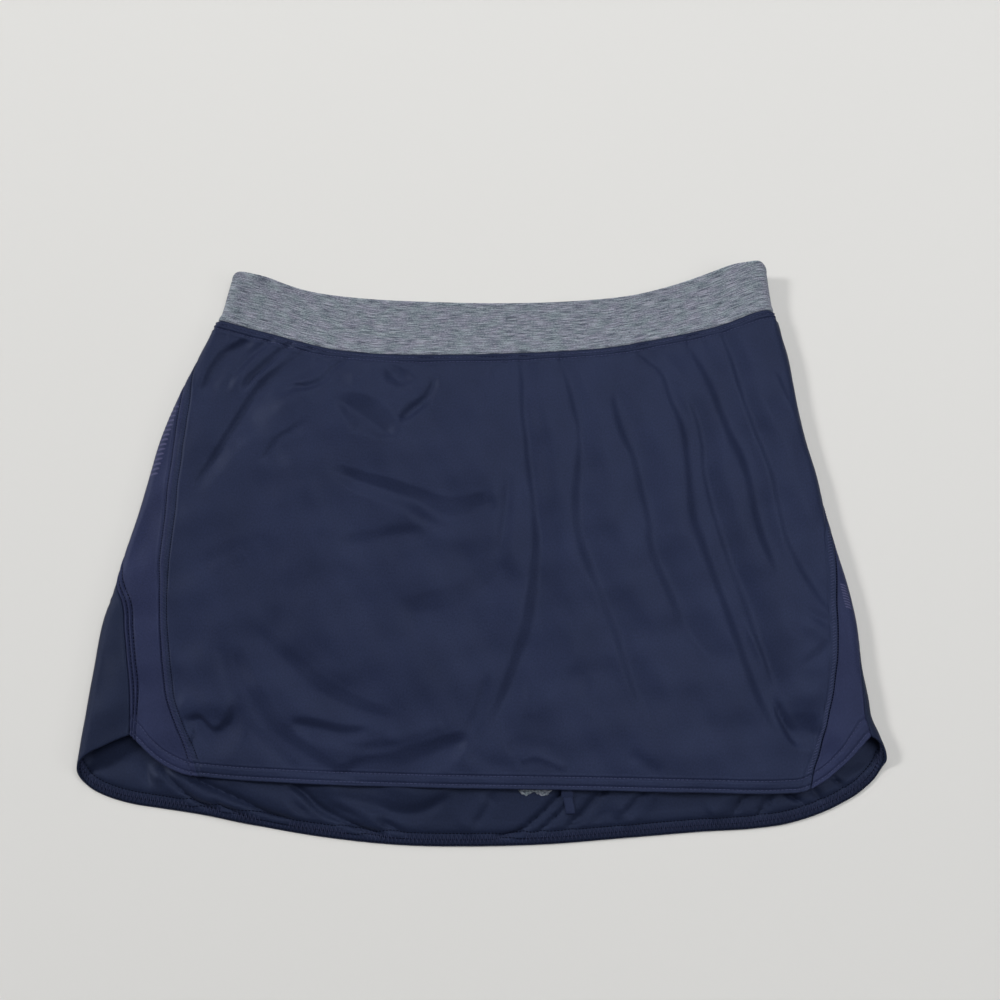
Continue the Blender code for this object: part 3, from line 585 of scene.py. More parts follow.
def front_form(x, y, down, side):
    """How far the front layer's creases stand over its plain form."""
    front = FOLD_SHARE * raised(x, y, FRONT_FOLDS, FOLD_FADE) + RAISED_BY * step(down / RAISED_START)
    front += (RAISED_AT_HEM - RAISED_BY) * step((down - RAISED_END) / (1 - RAISED_END))
    front *= step(side / FOLDS_CLEAR) * step(down / FOLDS_START)
    fine = raised(x, y, FRONT_CREASES, CREASE_FADE, CREASE_ENDS) - fallen(x, y, FRONT_FALLS) + waves(x, y)
    return front + fine * step(side / CREASES_CLEAR) * step(down / CREASES_START)


def back_form(x, y, down, side, front):
    """The height of the back layer's creases; hidden ones lie below the troughs of `front`."""
    shown = step((BACK_FOLDS_TOP - y) / BACK_FOLDS_FADE)
    from_hem = (1 - down) * SKIRT_LENGTH
    under = raised(x, y, BACK_FOLDS, FOLD_FADE) * step(side / FOLDS_CLEAR) - fallen(x, y, BACK_FALLS)
    under = np.maximum(under + BACK_LIFT * step(from_hem / BACK_LIFT_REACH), 0)
    hollows = np.clip(-HIDDEN_SHARE * front, 0, HIDDEN_LIMIT)
    return under * shown * step(side / CREASES_CLEAR) + hollows * (1 - shown) * step(side / FOLDS_CLEAR)


def tube(ring, down, fine=True):
    """Points of the garment's outer face; `fine` adds all its creases."""
    x, y, from_left, from_right = plan(ring, down)
    loft = read(LOFT, "left", "y", y) * step(1 - from_left / LOFT_REACH)
    loft = loft + read(LOFT, "right", "y", y) * step(1 - from_right / LOFT_REACH)
    shoulder = read(REST, "height", "down", down) + loft
    side = np.minimum(from_left, from_right)
    top, under = shoulder, np.zeros(np.shape(x))
    if fine:
        front = front_form(x, y, down, side)
        above = shoulder + front - LOWEST_TOP
        softened = LOWEST_TOP + (above + np.hypot(above, SOFT_LIMIT)) / 2
        top = shoulder + front + (softened - shoulder - front) * step(down / CREASES_START)
        under = back_form(x, y, down, side, front)
    turn = np.clip(side / (shoulder * FOLD_DEPTH), 0, 1)
    bulge = np.sqrt(np.clip(1 - (1 - turn) ** 2, 0, 1))
    middle = shoulder / 2
    on_front = np.mod(ring, 2) <= 1
    z = np.where(on_front, middle + (top - middle) * bulge, middle + (under - middle) * bulge)
    return np.stack([x, y, z], axis=-1)


def seam(places):
    """A function from `down` to the seam's ring number."""
    rings = np.array(rings_of(places))
    downs = (edge_line(rings, "waist") - column(places, "y")) / skirt_length(rings)
    downs[0], downs[-1] = 0, 1
    return lambda down: smooth(down, downs, rings)


left_front, left_rear = seam(LEFT_FRONT_SEAM), seam(LEFT_REAR_SEAM)
right_front, right_rear = seam(RIGHT_FRONT_SEAM), seam(RIGHT_REAR_SEAM)


def beyond_back(down):
    """The left rear seam, counted on from the right one round the underside."""
    return left_rear(down) + 2


def normals_of(points, closed=False):
    """Outward normals of a grid whose rows run down and whose columns run round."""
    if closed:
        wide = np.concatenate([points[:, -2:], points, points[:, :2]], axis=1)
        round_it = np.gradient(wide, axis=1)[:, 2:-2]
    else:
        round_it = np.gradient(points, axis=1)
    return unit(np.cross(np.gradient(points, axis=0), round_it))


LEAST_SLANT = 0.25


def tilt(ring, down):
    """How much a step down the cloth is shortened, square to the edge that these points run along."""
    along = unit(np.gradient(tube(ring, down, fine=False), axis=-2))
    return np.sqrt(np.clip(1 - along[..., 1] ** 2, LEAST_SLANT, 1))


# ---------------------------------------------------------------- meshes


def add_object(name, data):
    obj = bpy.data.objects.new(name, data)
    bpy.context.scene.collection.objects.link(obj)
    return obj


def new_piece(name, points, faces, material, uvs):
    mesh = bpy.data.meshes.new(name)
    mesh.from_pydata(((points + SHIFT) * MM).tolist(), [], faces)
    mesh.validate()
    layer = mesh.uv_layers.new(name="cloth")
    corners = np.empty(len(mesh.loops), int)
    mesh.loops.foreach_get("vertex_index", corners)
    layer.uv.foreach_set("vector", (uvs[corners] * MM).astype(np.float32).ravel())
    mesh.materials.append(material)
    mesh.shade_smooth()
    mesh.set_sharp_from_angle(angle=math.radians(SHARP_ANGLE))
    obj = add_object(name, mesh)
    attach(obj, "root")
    return obj


def turned_edge(outer, inner, before):
    """Rows that round off the edge between two sheets; `before` is the outer sheet's row before its last."""
    middle, half = (outer + inner) / 2, (outer - inner) / 2
    onward = unit(outer - before) * np.linalg.norm(half, axis=-1, keepdims=True)
    return [middle + half * np.cos(a) + onward * np.sin(a) for a in ROUNDING]


def shell_piece(name, fine_sheet, coarse_sheet, rims, material, uvs, closed=False, flip=False):
    """A wall between a fine sheet and one with as many or fewer rows and columns, rounded at its last row.

    `rims` are the rows that round off the last row, in the fine sheet's columns. `flip` turns the faces
    over, for a wall whose fine sheet is its inner one.
    """
    rows, columns = fine_sheet.shape[:2]
    blocks = [fine_sheet.reshape(-1, 3), *rims, coarse_sheet.reshape(-1, 3)]
    starts = np.cumsum([0] + [len(block) for block in blocks])
    fine = np.arange(rows * columns).reshape(rows, columns)
    edge_rows = [fine[-1]] + [starts[1 + k] + np.arange(columns) for k in range(len(rims))]
    coarse = starts[-2] + np.arange(len(blocks[-1])).reshape(coarse_sheet.shape[:2])
    stride = (len(fine) - 1) // (len(coarse) - 1)
    if closed:
        fine, coarse = [np.concatenate([grid, grid[:, :1]], axis=1) for grid in (fine, coarse)]
        edge_rows = [np.append(row, row[0]) for row in edge_rows]

    faces = []
    for upper, lower in [*zip(fine, fine[1:]), *zip(edge_rows, edge_rows[1:]), *zip(coarse[1:], coarse)]:
        faces += np.stack([upper[:-1], lower[:-1], lower[1:], upper[1:]], axis=-1).tolist()

    def beside(line, k):
        """The fine line's points next to the coarse stretch from k to k + 1."""
        return list(line[stride * k : stride * (k + 1) + 1])

    for k in range(coarse.shape[1] - 1):
        faces.append(beside(edge_rows[-1], k)[::-1] + [coarse[-1][k], coarse[-1][k + 1]])
        faces.append(beside(fine[0], k) + [coarse[0][k + 1], coarse[0][k]])
    if not closed:
        for side, sense in ((0, 1), (-1, -1)):
            for k in range(len(coarse) - 1):
                face = beside(fine[:, side], k)[::-1] + [coarse[k][side], coarse[k + 1][side]]
                faces.append(face[::sense])
            cap = [row[side] for row in edge_rows] + [coarse[-1][side]]
            faces.append(cap[::-sense])
    faces = [[int(v) for v in face][:: -1 if flip else 1] for face in faces]
    all_uvs = [uvs.reshape(-1, 2), *[uvs[-1]] * len(rims), uvs[::stride, ::stride].reshape(-1, 2)]
    return new_piece(name, np.concatenate(blocks), faces, material, np.concatenate(all_uvs))


def joined(name, meshes, material):
    """One object from several (points, faces) pairs."""
    starts = np.cumsum([0] + [len(points) for points, _ in meshes])
    points = np.concatenate([points for points, _ in meshes])
    faces = [[v + int(start) for v in face] for (_, mesh), start in zip(meshes, starts) for face in mesh]
    return new_piece(name, points, faces, material, points[:, :2])


def lofted(sections):
    """Points and faces of a closed body through an array of rings of points."""
    count, size = sections.shape[:2]
    index = np.arange(count * size).reshape(count, size)
    onward = np.roll(index, -1, axis=1)
    sides = np.stack([index[:-1], onward[:-1], onward[1:], index[1:]], axis=-1).reshape(-1, 4)
    return sections.reshape(-1, 3), sides.tolist() + [index[0][::-1].tolist(), index[-1].tolist()]


# ---------------------------------------------------------------- the skirt's panels

Rows = namedtuple("Rows", "near_waist middle near_hem")
FRONT_MIDDLE = (np.linspace(0, 0.35, 90), np.linspace(0.35, 0.75, 55)[1:], np.linspace(0.75, 1, 54)[1:])
BACK_MIDDLE = (np.linspace(0, 0.78, 34), np.linspace(0.78, 1, 46)[1:])
FRONT_ROWS = Rows(18, np.concatenate(FRONT_MIDDLE), 18)  # close where the creases are narrow
BACK_ROWS = Rows(4, np.concatenate(BACK_MIDDLE), 18)
FRONT_COLUMNS, SIDE_COLUMNS, BACK_COLUMNS = 321, 97, 421
EDGE_ZONE = 11.0  # the stretch at the waist and at the hem that has close rows
FOLD_DENSITY, FOLD_ZONE = 1.6, 9.0  # how much closer the columns are where the cloth turns
SEAM_DENSITY, SEAM_ZONE = 2.2, 5.0
SAMPLES = 500

Grid = namedtuple("Grid", "ring down from_start from_end from_waist from_hem")
Surface = namedtuple("Surface", "points ups from_start from_waist from_hem")


def panel_rows(rows):
    """For each row of a panel: the share of the whole length, and the millimetres added to that."""
    waist = np.linspace(0, EDGE_ZONE, rows.near_waist, endpoint=False)
    hem = np.linspace(EDGE_ZONE, HEM_CLOTH_WALL / 2, rows.near_hem + 1)[1:]
    share = np.concatenate([np.zeros(len(waist)), rows.middle, np.ones(len(hem))])
    return share, np.concatenate([waist, (1 - 2 * rows.middle) * EDGE_ZONE, -hem])


def fold_density(ring, down):
    _, _, from_left, from_right = plan(ring, down)
    return 1 + FOLD_DENSITY * (np.minimum(from_left, from_right) < FOLD_ZONE)


def panel_grid(start, end, rows, columns):
    """Ring and down numbers of a panel's points, and their distances from its four edges."""
    share, extra = [values[:, None] for values in panel_rows(rows)]
    at = np.linspace(0, 1, SAMPLES)

    def across(down):
        return start(down) + (end(down) - start(down)) * at

    waist_tilt, hem_tilt = tilt(across(0), np.zeros_like(at)), tilt(across(1), np.ones_like(at))
    slant = np.where(extra > 0, waist_tilt, hem_tilt)
    down = np.clip(share + extra / (skirt_length(across(share)) * slant), 0, 1)
    rings = across(down)
    steps = steps_along(tube(rings, down, fine=False))
    arc = totals(steps)
    dense = fold_density(rings, down)
    dense = dense + SEAM_DENSITY * (np.exp(-arc / SEAM_ZONE) + np.exp(-(arc[:, -1:] - arc) / SEAM_ZONE))
    weight = totals(steps * dense[:, 1:])
    lines = []
    for row in range(len(arc)):
        ends = np.interp([SEAM_SLIT / 2, arc[row, -1] - SEAM_SLIT / 2], arc[row], weight[row])
        places = np.interp(np.linspace(*ends, columns), weight[row], at)
        values = (rings[row], down[row], arc[row], waist_tilt, hem_tilt)
        lines.append([np.interp(places, at, line) for line in values])
    ring, down, from_start, waist_tilt, hem_tilt = np.array(lines).transpose(1, 0, 2)
    from_waist = down * skirt_length(ring) * waist_tilt
    from_hem = (1 - down) * skirt_length(ring) * hem_tilt
    return Grid(ring, down, from_start, arc[:, -1:] - from_start, from_waist, from_hem)


def puckered(along, away):
    """Small gathers at an edge: `along` it and `away` from it, in millimetres."""
    total = np.zeros(np.shape(along))
    for pucker in PUCKERS:
        beat = 2 * np.pi * along / (PUCKER_BEAT * pucker.length) + 2 * pucker.phase
        wandering = PUCKER_WANDER * np.sin(along / PUCKER_WANDER_LENGTH + pucker.phase)
        turn = 2 * np.pi * along / pucker.length + pucker.phase + wandering
        total += pucker.height * (PUCKER_MEAN + PUCKER_SWING * np.sin(beat)) * np.sin(turn)
    return total * step(1 - away / PUCKER_REACH)


def on_floor(points):
    """The points, none lower than the surface that the garment lies on."""
    return np.concatenate([points[..., :2], np.maximum(points[..., 2:], 0)], axis=-1)


def make_panel(
    name, start, end, rows, columns, reliefs, material, hem=HEM_RELIEF, inside=NO_RELIEF, show_inside=False
):
    """A skirt panel between two seams: the object, its outer and its inner face.

    `reliefs` are those along its start and its end seam, `hem` and `inside` those of its hem's two faces.
    With `show_inside` both faces are finely divided.
    """
    grid = panel_grid(start, end, rows, columns)
    base = tube(grid.ring, grid.down)
    normals = normals_of(base)
    height = relief(WAIST_RELIEF, grid.from_waist) + relief(hem, grid.from_hem)
    height = height + relief(reliefs[0], grid.from_start) + relief(reliefs[1], grid.from_end)
    height = height + puckered(grid.from_start, grid.from_waist) * step(grid.from_waist / PUCKER_START)
    outer = on_floor(base + height[..., None] * normals)
    wall = CLOTH_WALL + (HEM_CLOTH_WALL - CLOTH_WALL) * step(1 - (grid.from_hem - HEM_BAND) / HEM_BLEND)
    inner = base - (wall + relief(inside, grid.from_hem))[..., None] * normals
    uvs = np.stack([grid.from_start - grid.from_start[:, -1:] / 2, -grid.down * SKIRT_LENGTH], axis=-1)
    if show_inside:
        rims = turned_edge(inner[-1], outer[-1], inner[-2])
        piece = shell_piece(name, inner, outer, rims, material, uvs, flip=True)
    else:
        rims = turned_edge(outer[-1], inner[-1], outer[-2])
        piece = shell_piece(name, outer, inner[::2, ::2], rims, material, uvs)
    distances = grid.from_start, grid.from_waist, grid.from_hem
    outside = Surface(outer, normals_of(outer), *distances)
    return piece, outside, Surface(inner, -normals_of(inner), *distances)


# ---------------------------------------------------------------- the waistband

BAND_COLUMNS = 620
BAND_EDGE_ROWS = (0.0, 0.5, 1.0, 1.6, 2.3, 3.1), (34.0, 34.8, 35.5, 36.1, 36.7, 37.2, 37.6, 37.8, 38.0)
BAND_ROWS = np.concatenate([BAND_EDGE_ROWS[0], np.linspace(4.2, 33.0, 24), BAND_EDGE_ROWS[1]])
BAND_MIDDLE = -0.5  # a line round it, as a `down` number
RIPPLE, RIPPLE_LENGTH, RIPPLE_WANDER, RIPPLE_WANDER_LENGTH = 0.12, 9.5, 1.5, 27


def band_rings(count):
    """Ring numbers all round the waistband, at steps of its length that are shorter at the folds."""
    at = np.linspace(0, 2, 4 * SAMPLES + 1)
    middle = np.full_like(at, BAND_MIDDLE)
    steps = steps_along(tube(at, middle, fine=False))
    weight = totals(steps * fold_density(at, middle)[1:])
    rings = np.interp(np.linspace(0, weight[-1], count, endpoint=False), weight, at)
    return rings, np.interp(rings, at, totals(steps))


def make_waistband(material):
    ring, arc = band_rings(BAND_COLUMNS)
    height = edge_line(ring, "top") - edge_line(ring, "waist")
    above_seam = SEAM_SLIT + (height - SEAM_SLIT - BAND_WALL / 2) * (BAND_ROWS[:, None] / BAND_ROWS[-1])
    ring, arc, above_seam = np.broadcast_arrays(ring, arc, above_seam)
    base = tube(ring, -above_seam / height)
    normals = -normals_of(base, closed=True)
    turn = 2 * np.pi * arc / RIPPLE_LENGTH + RIPPLE_WANDER * np.sin(arc / RIPPLE_WANDER_LENGTH)
    ripple = RIPPLE * np.sin(turn) * np.sin(np.pi * above_seam / height)
    swell = relief(BAND_SEAM_RELIEF, above_seam) + relief(BAND_TOP_RELIEF, height - above_seam) + ripple
    outer = on_floor(base + swell[..., None] * normals)
    inner = base - BAND_WALL * normals
    rims = turned_edge(outer[-1], inner[-1], outer[-2])
    uvs = np.stack([arc, above_seam], axis=-1)
    sheets = outer, inner[::2, ::2]
    return shell_piece("waistband_cloth", *sheets, rims, material, uvs, closed=True, flip=True)


# ---------------------------------------------------------------- the inner short and its loop

SHOWN_HEM = (19.0, 52.0)  # the stretch of the right leg's hem that shows below the front
SHOWN_STEP, SHOWN_MARGIN, HIDDEN_STATIONS = 0.55, 2, 40
LEG_ENDS = (0.2, 0.6, 1.3)  # stations near both ends, for its rounding
LEG_ROUNDING = 1.6
LEG_ROWS, LEG_HEM = 12, 8
LEG_HEM_ROWS = np.array([5.5, 3.5, 2.2, 1.3, 0.7, 0.3, 0.0])  # distances from the hem
LEG_HEM_MORE, LEG_HEM_TOP, LEG_HEM_BLEND = 0.45, 2.5, 3  # how much thicker the hem is, and up to where
LEG_EDGE, LEG_EDGE_START, THINNEST = 0.8, 0.12, 0.02  # the hem edge's rounding
LEG_OPENING, NARROWEST = 6, 0.05  # from the waist to where the two layers are apart
TOOTH, TOOTH_PITCH, RAGGED, RAGGED_TURN = 0.45, 2.3, 0.25, 1.9  # of the hem that shows

# The small doubled loop below the front hem: a wider tab lies over the upper part of the strip.
LOOP_X, LOOP_TOP, LOOP_TAB_END, LOOP_END = 54.8, -158.8, -168.6, -178.6
LOOP_WIDTH, LOOP_SLANT, LOOP_SLANT_LENGTH, LOOP_THICKNESS = 6.0, 1.4, 8, 0.9
LOOP_LOW, LOOP_BEND = 2.8, 0.55  # height of the strip's lower run, and the radius of its fold
LOOP_RIDGE, RIDGE_WIDTH = 0.5, 0.16
TAB_WIDTH, TAB_THICKNESS, TAB_ASIDE, TAB_DROP, TAB_DROP_LENGTH, TAB_SEAT = 7.6, 0.8, 0.3, 0.35, 2, 0.95
RIBBON_SIDES, RIBBON_FLAT, RIBBON_TALL = 28, 0.35, 0.7  # and how square its section is across and up


def leg_section(x, top, bottom, open_by):
    """A section of a leg of the inner short: two layers, joined at the waist and open at the hem."""
    reach = top - bottom
    down = np.concatenate([np.linspace(0, reach - LEG_HEM, LEG_ROWS), reach - LEG_HEM_ROWS])
    y = top - down
    above = y - bottom
    wall = SHORT_CLOTH_WALL * (1 + LEG_HEM_MORE * step(1 - (above - LEG_HEM_TOP) / LEG_HEM_BLEND))
    rounding = np.clip(1 - (1 - (above + LEG_EDGE_START) / LEG_EDGE) ** 2, THINNEST, 1)
    wall = wall * np.sqrt(np.where(above < LEG_EDGE, rounding, 1))
    middle = SHORT_FLOOR + SHORT_WALL / 2
    inside = open_by * (SHORT_WALL / 2 - SHORT_CLOTH_WALL * (1 + LEG_HEM_MORE))
    inside = inside * np.clip(down / LEG_OPENING, NARROWEST, 1)
    upper, lower = middle + inside, middle - inside
    y_loop = np.concatenate([y, y[::-1], y[1:], y[::-1]])
    z_loop = np.concatenate([upper + wall * open_by, upper[::-1], lower[1:], (lower - wall * open_by)[::-1]])
    return np.stack([np.full(len(y_loop), x), y_loop, z_loop], axis=-1)


def make_leg(name, stations, material):
    low, high = column(stations, "x").min(), column(stations, "x").max()
    start, end = SHOWN_HEM
    shown = [x for x in np.arange(start, end, SHOWN_STEP) if low < x < high]
    left_end, right_end = start - SHOWN_MARGIN, end + SHOWN_MARGIN
    hidden = [x for x in np.linspace(low, high, HIDDEN_STATIONS) if not left_end < x < right_end]
    ends = [x for away in LEG_ENDS for x in (low + away, high - away)]
    at = np.array(sorted(shown + hidden + ends))
    ragged = TOOTH * np.abs(np.mod(at / TOOTH_PITCH, 1) * 2 - 1) + RAGGED * np.sin(at * RAGGED_TURN)
    bottom = read(stations, "bottom", "x", at) + ragged * (at > start) * (at < end)
    from_side = np.clip(np.minimum(at - low, high - at) / LEG_ROUNDING, 0, 1)
    open_by = np.sqrt(np.clip(1 - (1 - from_side) ** 2, THINNEST, 1))
    rows = zip(at, read(stations, "top", "x", at), bottom, open_by)
    return joined(name, [lofted(np.array([leg_section(*row) for row in rows]))], material)


def ribbon(path, width, thickness, ridge=0.0):
    """A strip of cloth along a path of (x, y, z) points, flat across X, with a ridge along its middle."""
    turn = np.linspace(0, 2 * np.pi, RIBBON_SIDES, endpoint=False)
    flat = np.sign(np.cos(turn)) * np.abs(np.cos(turn)) ** RIBBON_FLAT
    tall = np.sign(np.sin(turn)) * np.abs(np.sin(turn)) ** RIBBON_TALL
    tall = tall + ridge * np.exp(-((flat / RIDGE_WIDTH) ** 2)) * (tall > 0)
    heading = unit(np.gradient(path, axis=0))
    across = np.array([1.0, 0.0, 0.0])
    up = unit(np.cross(np.broadcast_to(across, heading.shape), heading))
    upward = tall[:, None] * up[:, None] * thickness / 2
    return lofted(path[:, None] + flat[:, None] * across * width / 2 + upward)


def make_loop(material):
    turn = np.linspace(0, np.pi, 9)
    down = np.linspace(LOOP_TOP, LOOP_END + LOOP_BEND, 12)
    slant = LOOP_SLANT * step((LOOP_TAB_END - down) / LOOP_SLANT_LENGTH)
    upper = np.stack([LOOP_X + slant, down, np.full_like(down, LOOP_LOW + 2 * LOOP_BEND)], axis=-1)
    bend_y = LOOP_END + LOOP_BEND - LOOP_BEND * np.sin(turn)
    bend_z = LOOP_LOW + LOOP_BEND * (1 + np.cos(turn))
    bend = np.stack([np.full_like(turn, LOOP_X + LOOP_SLANT), bend_y, bend_z], axis=-1)
    lower = upper[::-1] * [1, 1, 0] + [0, 0, LOOP_LOW]
    strip = ribbon(np.concatenate([upper, bend[1:-1], lower]), LOOP_WIDTH, LOOP_THICKNESS, LOOP_RIDGE)
    tab_y = np.linspace(LOOP_TOP, LOOP_TAB_END, 8)
    drop = TAB_DROP * step(1 - (tab_y - LOOP_TAB_END) / TAB_DROP_LENGTH)
    tab_z = LOOP_LOW + 2 * LOOP_BEND + LOOP_THICKNESS * TAB_SEAT - drop
    tab_path = np.stack([np.full_like(tab_y, LOOP_X - TAB_ASIDE), tab_y, tab_z], axis=-1)
    return joined("loop_cloth", [strip, ribbon(tab_path, TAB_WIDTH, TAB_THICKNESS)], material)


# ---------------------------------------------------------------- sewing

THREAD, SEAM_THREAD_WIDTH, HEM_THREAD_WIDTH, LOOPER_WIDTH = 0.24, 0.36, 0.34, 0.30  # half a thread's width
THREAD_SIDES, THREAD_END = 5, 0.45  # and its width at its ends
STITCH_POINTS = 5
STITCH_SUNK, RUNG_SUNK, RUNG_LIFT, RUNG_SLANT = 0.6, 0.5, 0.2, 0.3  # the first two in threads
LINE_STEP, ROW_STEP = 1.2, 0.7
LOWEST_UP = -0.25  # stitches that face further down than this lie on the resting underside
SEAM_TOP, SEAM_BOTTOM = 8.0, 9.0  # where a seam's rows start and end, from the waist and from the hem

# Rows of sewing: their distances from the edge or the seam, negative ones on the panel before the seam.
WAIST_STITCHES, HEM_STITCHES, EDGE_PITCH, EDGE_SHARE = (2.6, 5.7), (2.3, 7.7), 2.6, 0.86
INSIDE_STITCHES, INSIDE_PITCH, INSIDE_SHARE = (1.2, 4.4, 8.0), 2.2, 0.8
LOOPER, LOOPER_PITCH = (2.0, 7.2), 2.6
LEFT_BAND = (-3.3, -2.2, -1.0), (1.0, 2.2, 3.3)
RIGHT_BAND = (-5.9, -5.0, -4.1, -3.2, -2.3)
LEFT_RUNG_PITCH, RIGHT_RUNG_PITCH = 2.4, 2.0
REAR_ROWS, RIGHT_ROWS = (2.6, 5.4), (-0.7,)
LEFT_ROW, REAR_ROW, RIGHT_ROW = (1.7, 0.6), (2.4, 0.8), (1.7, 0.7)  # pitch, and a stitch's share of it

# Ventilation bars on the side panels, each with its distance from the front seam.
LEFT_VENTS = table("y gap length height", *[(87 - 3.3 * k, 3.4 + 0.55 * k, 8.0, 1.5) for k in range(15)])
RIGHT_VENTS = table("y gap length height", *[(-36 - 2.2 * k, 2.0 + 0.55 * k, 4.6, 0.85) for k in range(9)])
VENT_RISE, VENT_LIFT, VENT_POINTS, VENT_SIDES = 0.10, 0.04, 9, 10

Line = namedtuple("Line", "points ups")


def between(values, rows, columns):
    """Values of a grid at row and column numbers between its points."""
    low_row = np.clip(np.floor(rows).astype(int), 0, values.shape[0] - 2)
    low_column = np.clip(np.floor(columns).astype(int), 0, values.shape[1] - 2)
    r, c = (rows - low_row)[..., None], (columns - low_column)[..., None]
    upper = values[low_row, low_column] * (1 - c) + values[low_row, low_column + 1] * c
    lower = values[low_row + 1, low_column] * (1 - c) + values[low_row + 1, low_column + 1] * c
    return upper * (1 - r) + lower * r


def on_surface(surface, rows, arcs):
    """Places of a surface at row numbers and distances from its start; a negative one is from its end."""
    rows, arcs = np.broadcast_arrays(np.asarray(rows, float), np.asarray(arcs, float))
    columns = np.empty(rows.shape)
    numbers = np.arange(surface.from_start.shape[1])
    for place in np.ndindex(rows.shape):
        distances = surface.from_start[int(round(rows[place]))]
        arc = arcs[place] if arcs[place] >= 0 else distances[-1] + SEAM_SLIT / 2 + arcs[place]
        columns[place] = np.interp(arc, distances, numbers)
    return Line(between(surface.points, rows, columns), unit(between(surface.ups, rows, columns)))


def row_at(surface, distance, edge):
    """The row number at a distance from the waist or the hem edge, read in the panel's middle column."""
    distances = getattr(surface, "from_" + edge)[:, surface.from_start.shape[1] // 2]
    order = -1 if edge == "hem" else 1
    return float(np.interp(distance, distances[::order], np.arange(len(distances))[::order]))


def line_round(surface, distance, edge):
    """A line along the waist or the hem of a panel, from one side seam to the other."""
    row = row_at(surface, distance, edge)
    total = surface.from_start[int(round(row)), -1]
    return on_surface(surface, row, np.arange(1.0, total - 1.0, LINE_STEP))


def lines_down(surface, arcs):
    """Lines down a panel at distances from a side seam."""
    rows = np.arange(row_at(surface, SEAM_TOP, "waist"), row_at(surface, SEAM_BOTTOM, "hem"), ROW_STEP)
    return [on_surface(surface, rows, arc) for arc in arcs]


def read_line(line, lengths):
    """Points and ups of a line at distances along it."""
    have = totals(steps_along(line.points))
    found = [np.stack([np.interp(lengths, have, part[:, k]) for k in range(3)], axis=-1) for part in line]
    return Line(found[0], unit(found[1]))


def length_of(line):
    return totals(steps_along(line.points))[-1]


def seen(line):
    """The stitches of a set that don't lie on the resting underside."""
    keep = line.ups[..., 2].min(axis=1) > LOWEST_UP
    return Line(line.points[keep], line.ups[keep])


def stitches(line, pitch, share):
    """Separate stitches along a line; each dips into the cloth at both its ends."""
    starts = pitch * (np.arange(int(length_of(line) / pitch)) + (1 - share) / 2)
    t = np.linspace(0, 1, STITCH_POINTS)
    found = read_line(line, starts[:, None] + share * pitch * t)
    rise = THREAD * np.sin(np.pi * t) - THREAD * STITCH_SUNK
    return Line(found.points + found.ups * rise[:, None], found.ups)


def zigzag(first, second, pitch):
    """A looper thread that goes to and fro between two lines."""
    one, other = length_of(first), length_of(second)
    count = int(one / pitch)
    share = np.arange(2 * count + 1) / (2 * count)
    t = np.linspace(0, 1, STITCH_POINTS)[:-1]
    ends_first, ends_second = read_line(first, share * one), read_line(second, share * other)
    is_second = (np.arange(2 * count + 1) % 2 == 1)[:, None]
    corners = np.where(is_second, ends_second.points, ends_first.points)
    ups = unit(ends_first.ups + ends_second.ups)[:-1]
    path = corners[:-1, None] * (1 - t)[:, None] + corners[1:, None] * t[:, None]
    path = path + ups[:, None] * (THREAD * np.sin(np.pi * t))[:, None]
    return Line(path.reshape(-1, 3)[None], np.repeat(ups, len(t), axis=0)[None])


def rungs(lines, pitch):
    """Short threads side by side across a band, over a list of lines that run along it."""
    count = int(length_of(lines[0]) / pitch)
    share = (np.arange(count) + 0.5) / count
    lean = RUNG_SLANT * np.linspace(-0.5, 0.5, len(lines))
    found = []
    for line, move in zip(lines, lean):
        total = length_of(line)
        found.append(read_line(line, np.clip(share * total + move, 0, total)))
    points, ups = [np.stack(parts, axis=1) for parts in zip(*found)]
    rise = RUNG_LIFT * np.sin(np.pi * np.linspace(0, 1, len(lines))) - THREAD * RUNG_SUNK
    return Line(points + ups * rise[:, None], ups)


def thread_mesh(line, half_width, half_height, sides=THREAD_SIDES):
    """Tubes along an array of paths, with tapered ends: points and faces."""
    paths, ups = line
    count, size = paths.shape[:2]
    heading = unit(np.gradient(paths, axis=1))
    across = unit(np.cross(heading, ups))
    up = np.cross(across, heading)
    turn = np.linspace(0, 2 * np.pi, sides, endpoint=False)[:, None]
    taper = np.ones((size, 1, 1))
    taper[[0, -1]] = THREAD_END
    around = half_width * np.cos(turn) * across[:, :, None] + half_height * np.sin(turn) * up[:, :, None]
    points = paths[:, :, None] + around * taper
    index = np.arange(count * size * sides).reshape(count, size, sides)
    onward = np.roll(index, -1, axis=2)
    walls = np.stack([index[:, :-1], index[:, 1:], onward[:, 1:], onward[:, :-1]], axis=-1).reshape(-1, 4)
    return points.reshape(-1, 3), walls.tolist() + index[:, 0].tolist() + index[:, -1, ::-1].tolist()


def make_threads(name, lines, material, half_width=THREAD):
    return joined(name, [thread_mesh(line, half_width, half_width) for line in lines], material)


def make_vents(name, surface, vents, sense, material):
    """Raised bars of sheer film on a side panel, from near its front seam round the fold.

    `sense` is -1 where the front seam is the panel's end, and 1 where it is its start.
    """
    ys = surface.points[:, -1 if sense < 0 else 0, 1]
    parts = []
    for vent in vents:
        row = np.interp(-vent.y, -ys, np.arange(len(ys)))
        found = on_surface(surface, row, sense * np.linspace(vent.gap, vent.gap + vent.length, VENT_POINTS))
        line = Line(found.points[None] + VENT_LIFT * found.ups[None], found.ups[None])
        parts.append(thread_mesh(line, vent.height / 2, VENT_RISE, VENT_SIDES))
    return joined(name, parts, material)


# ---------------------------------------------------------------- materials

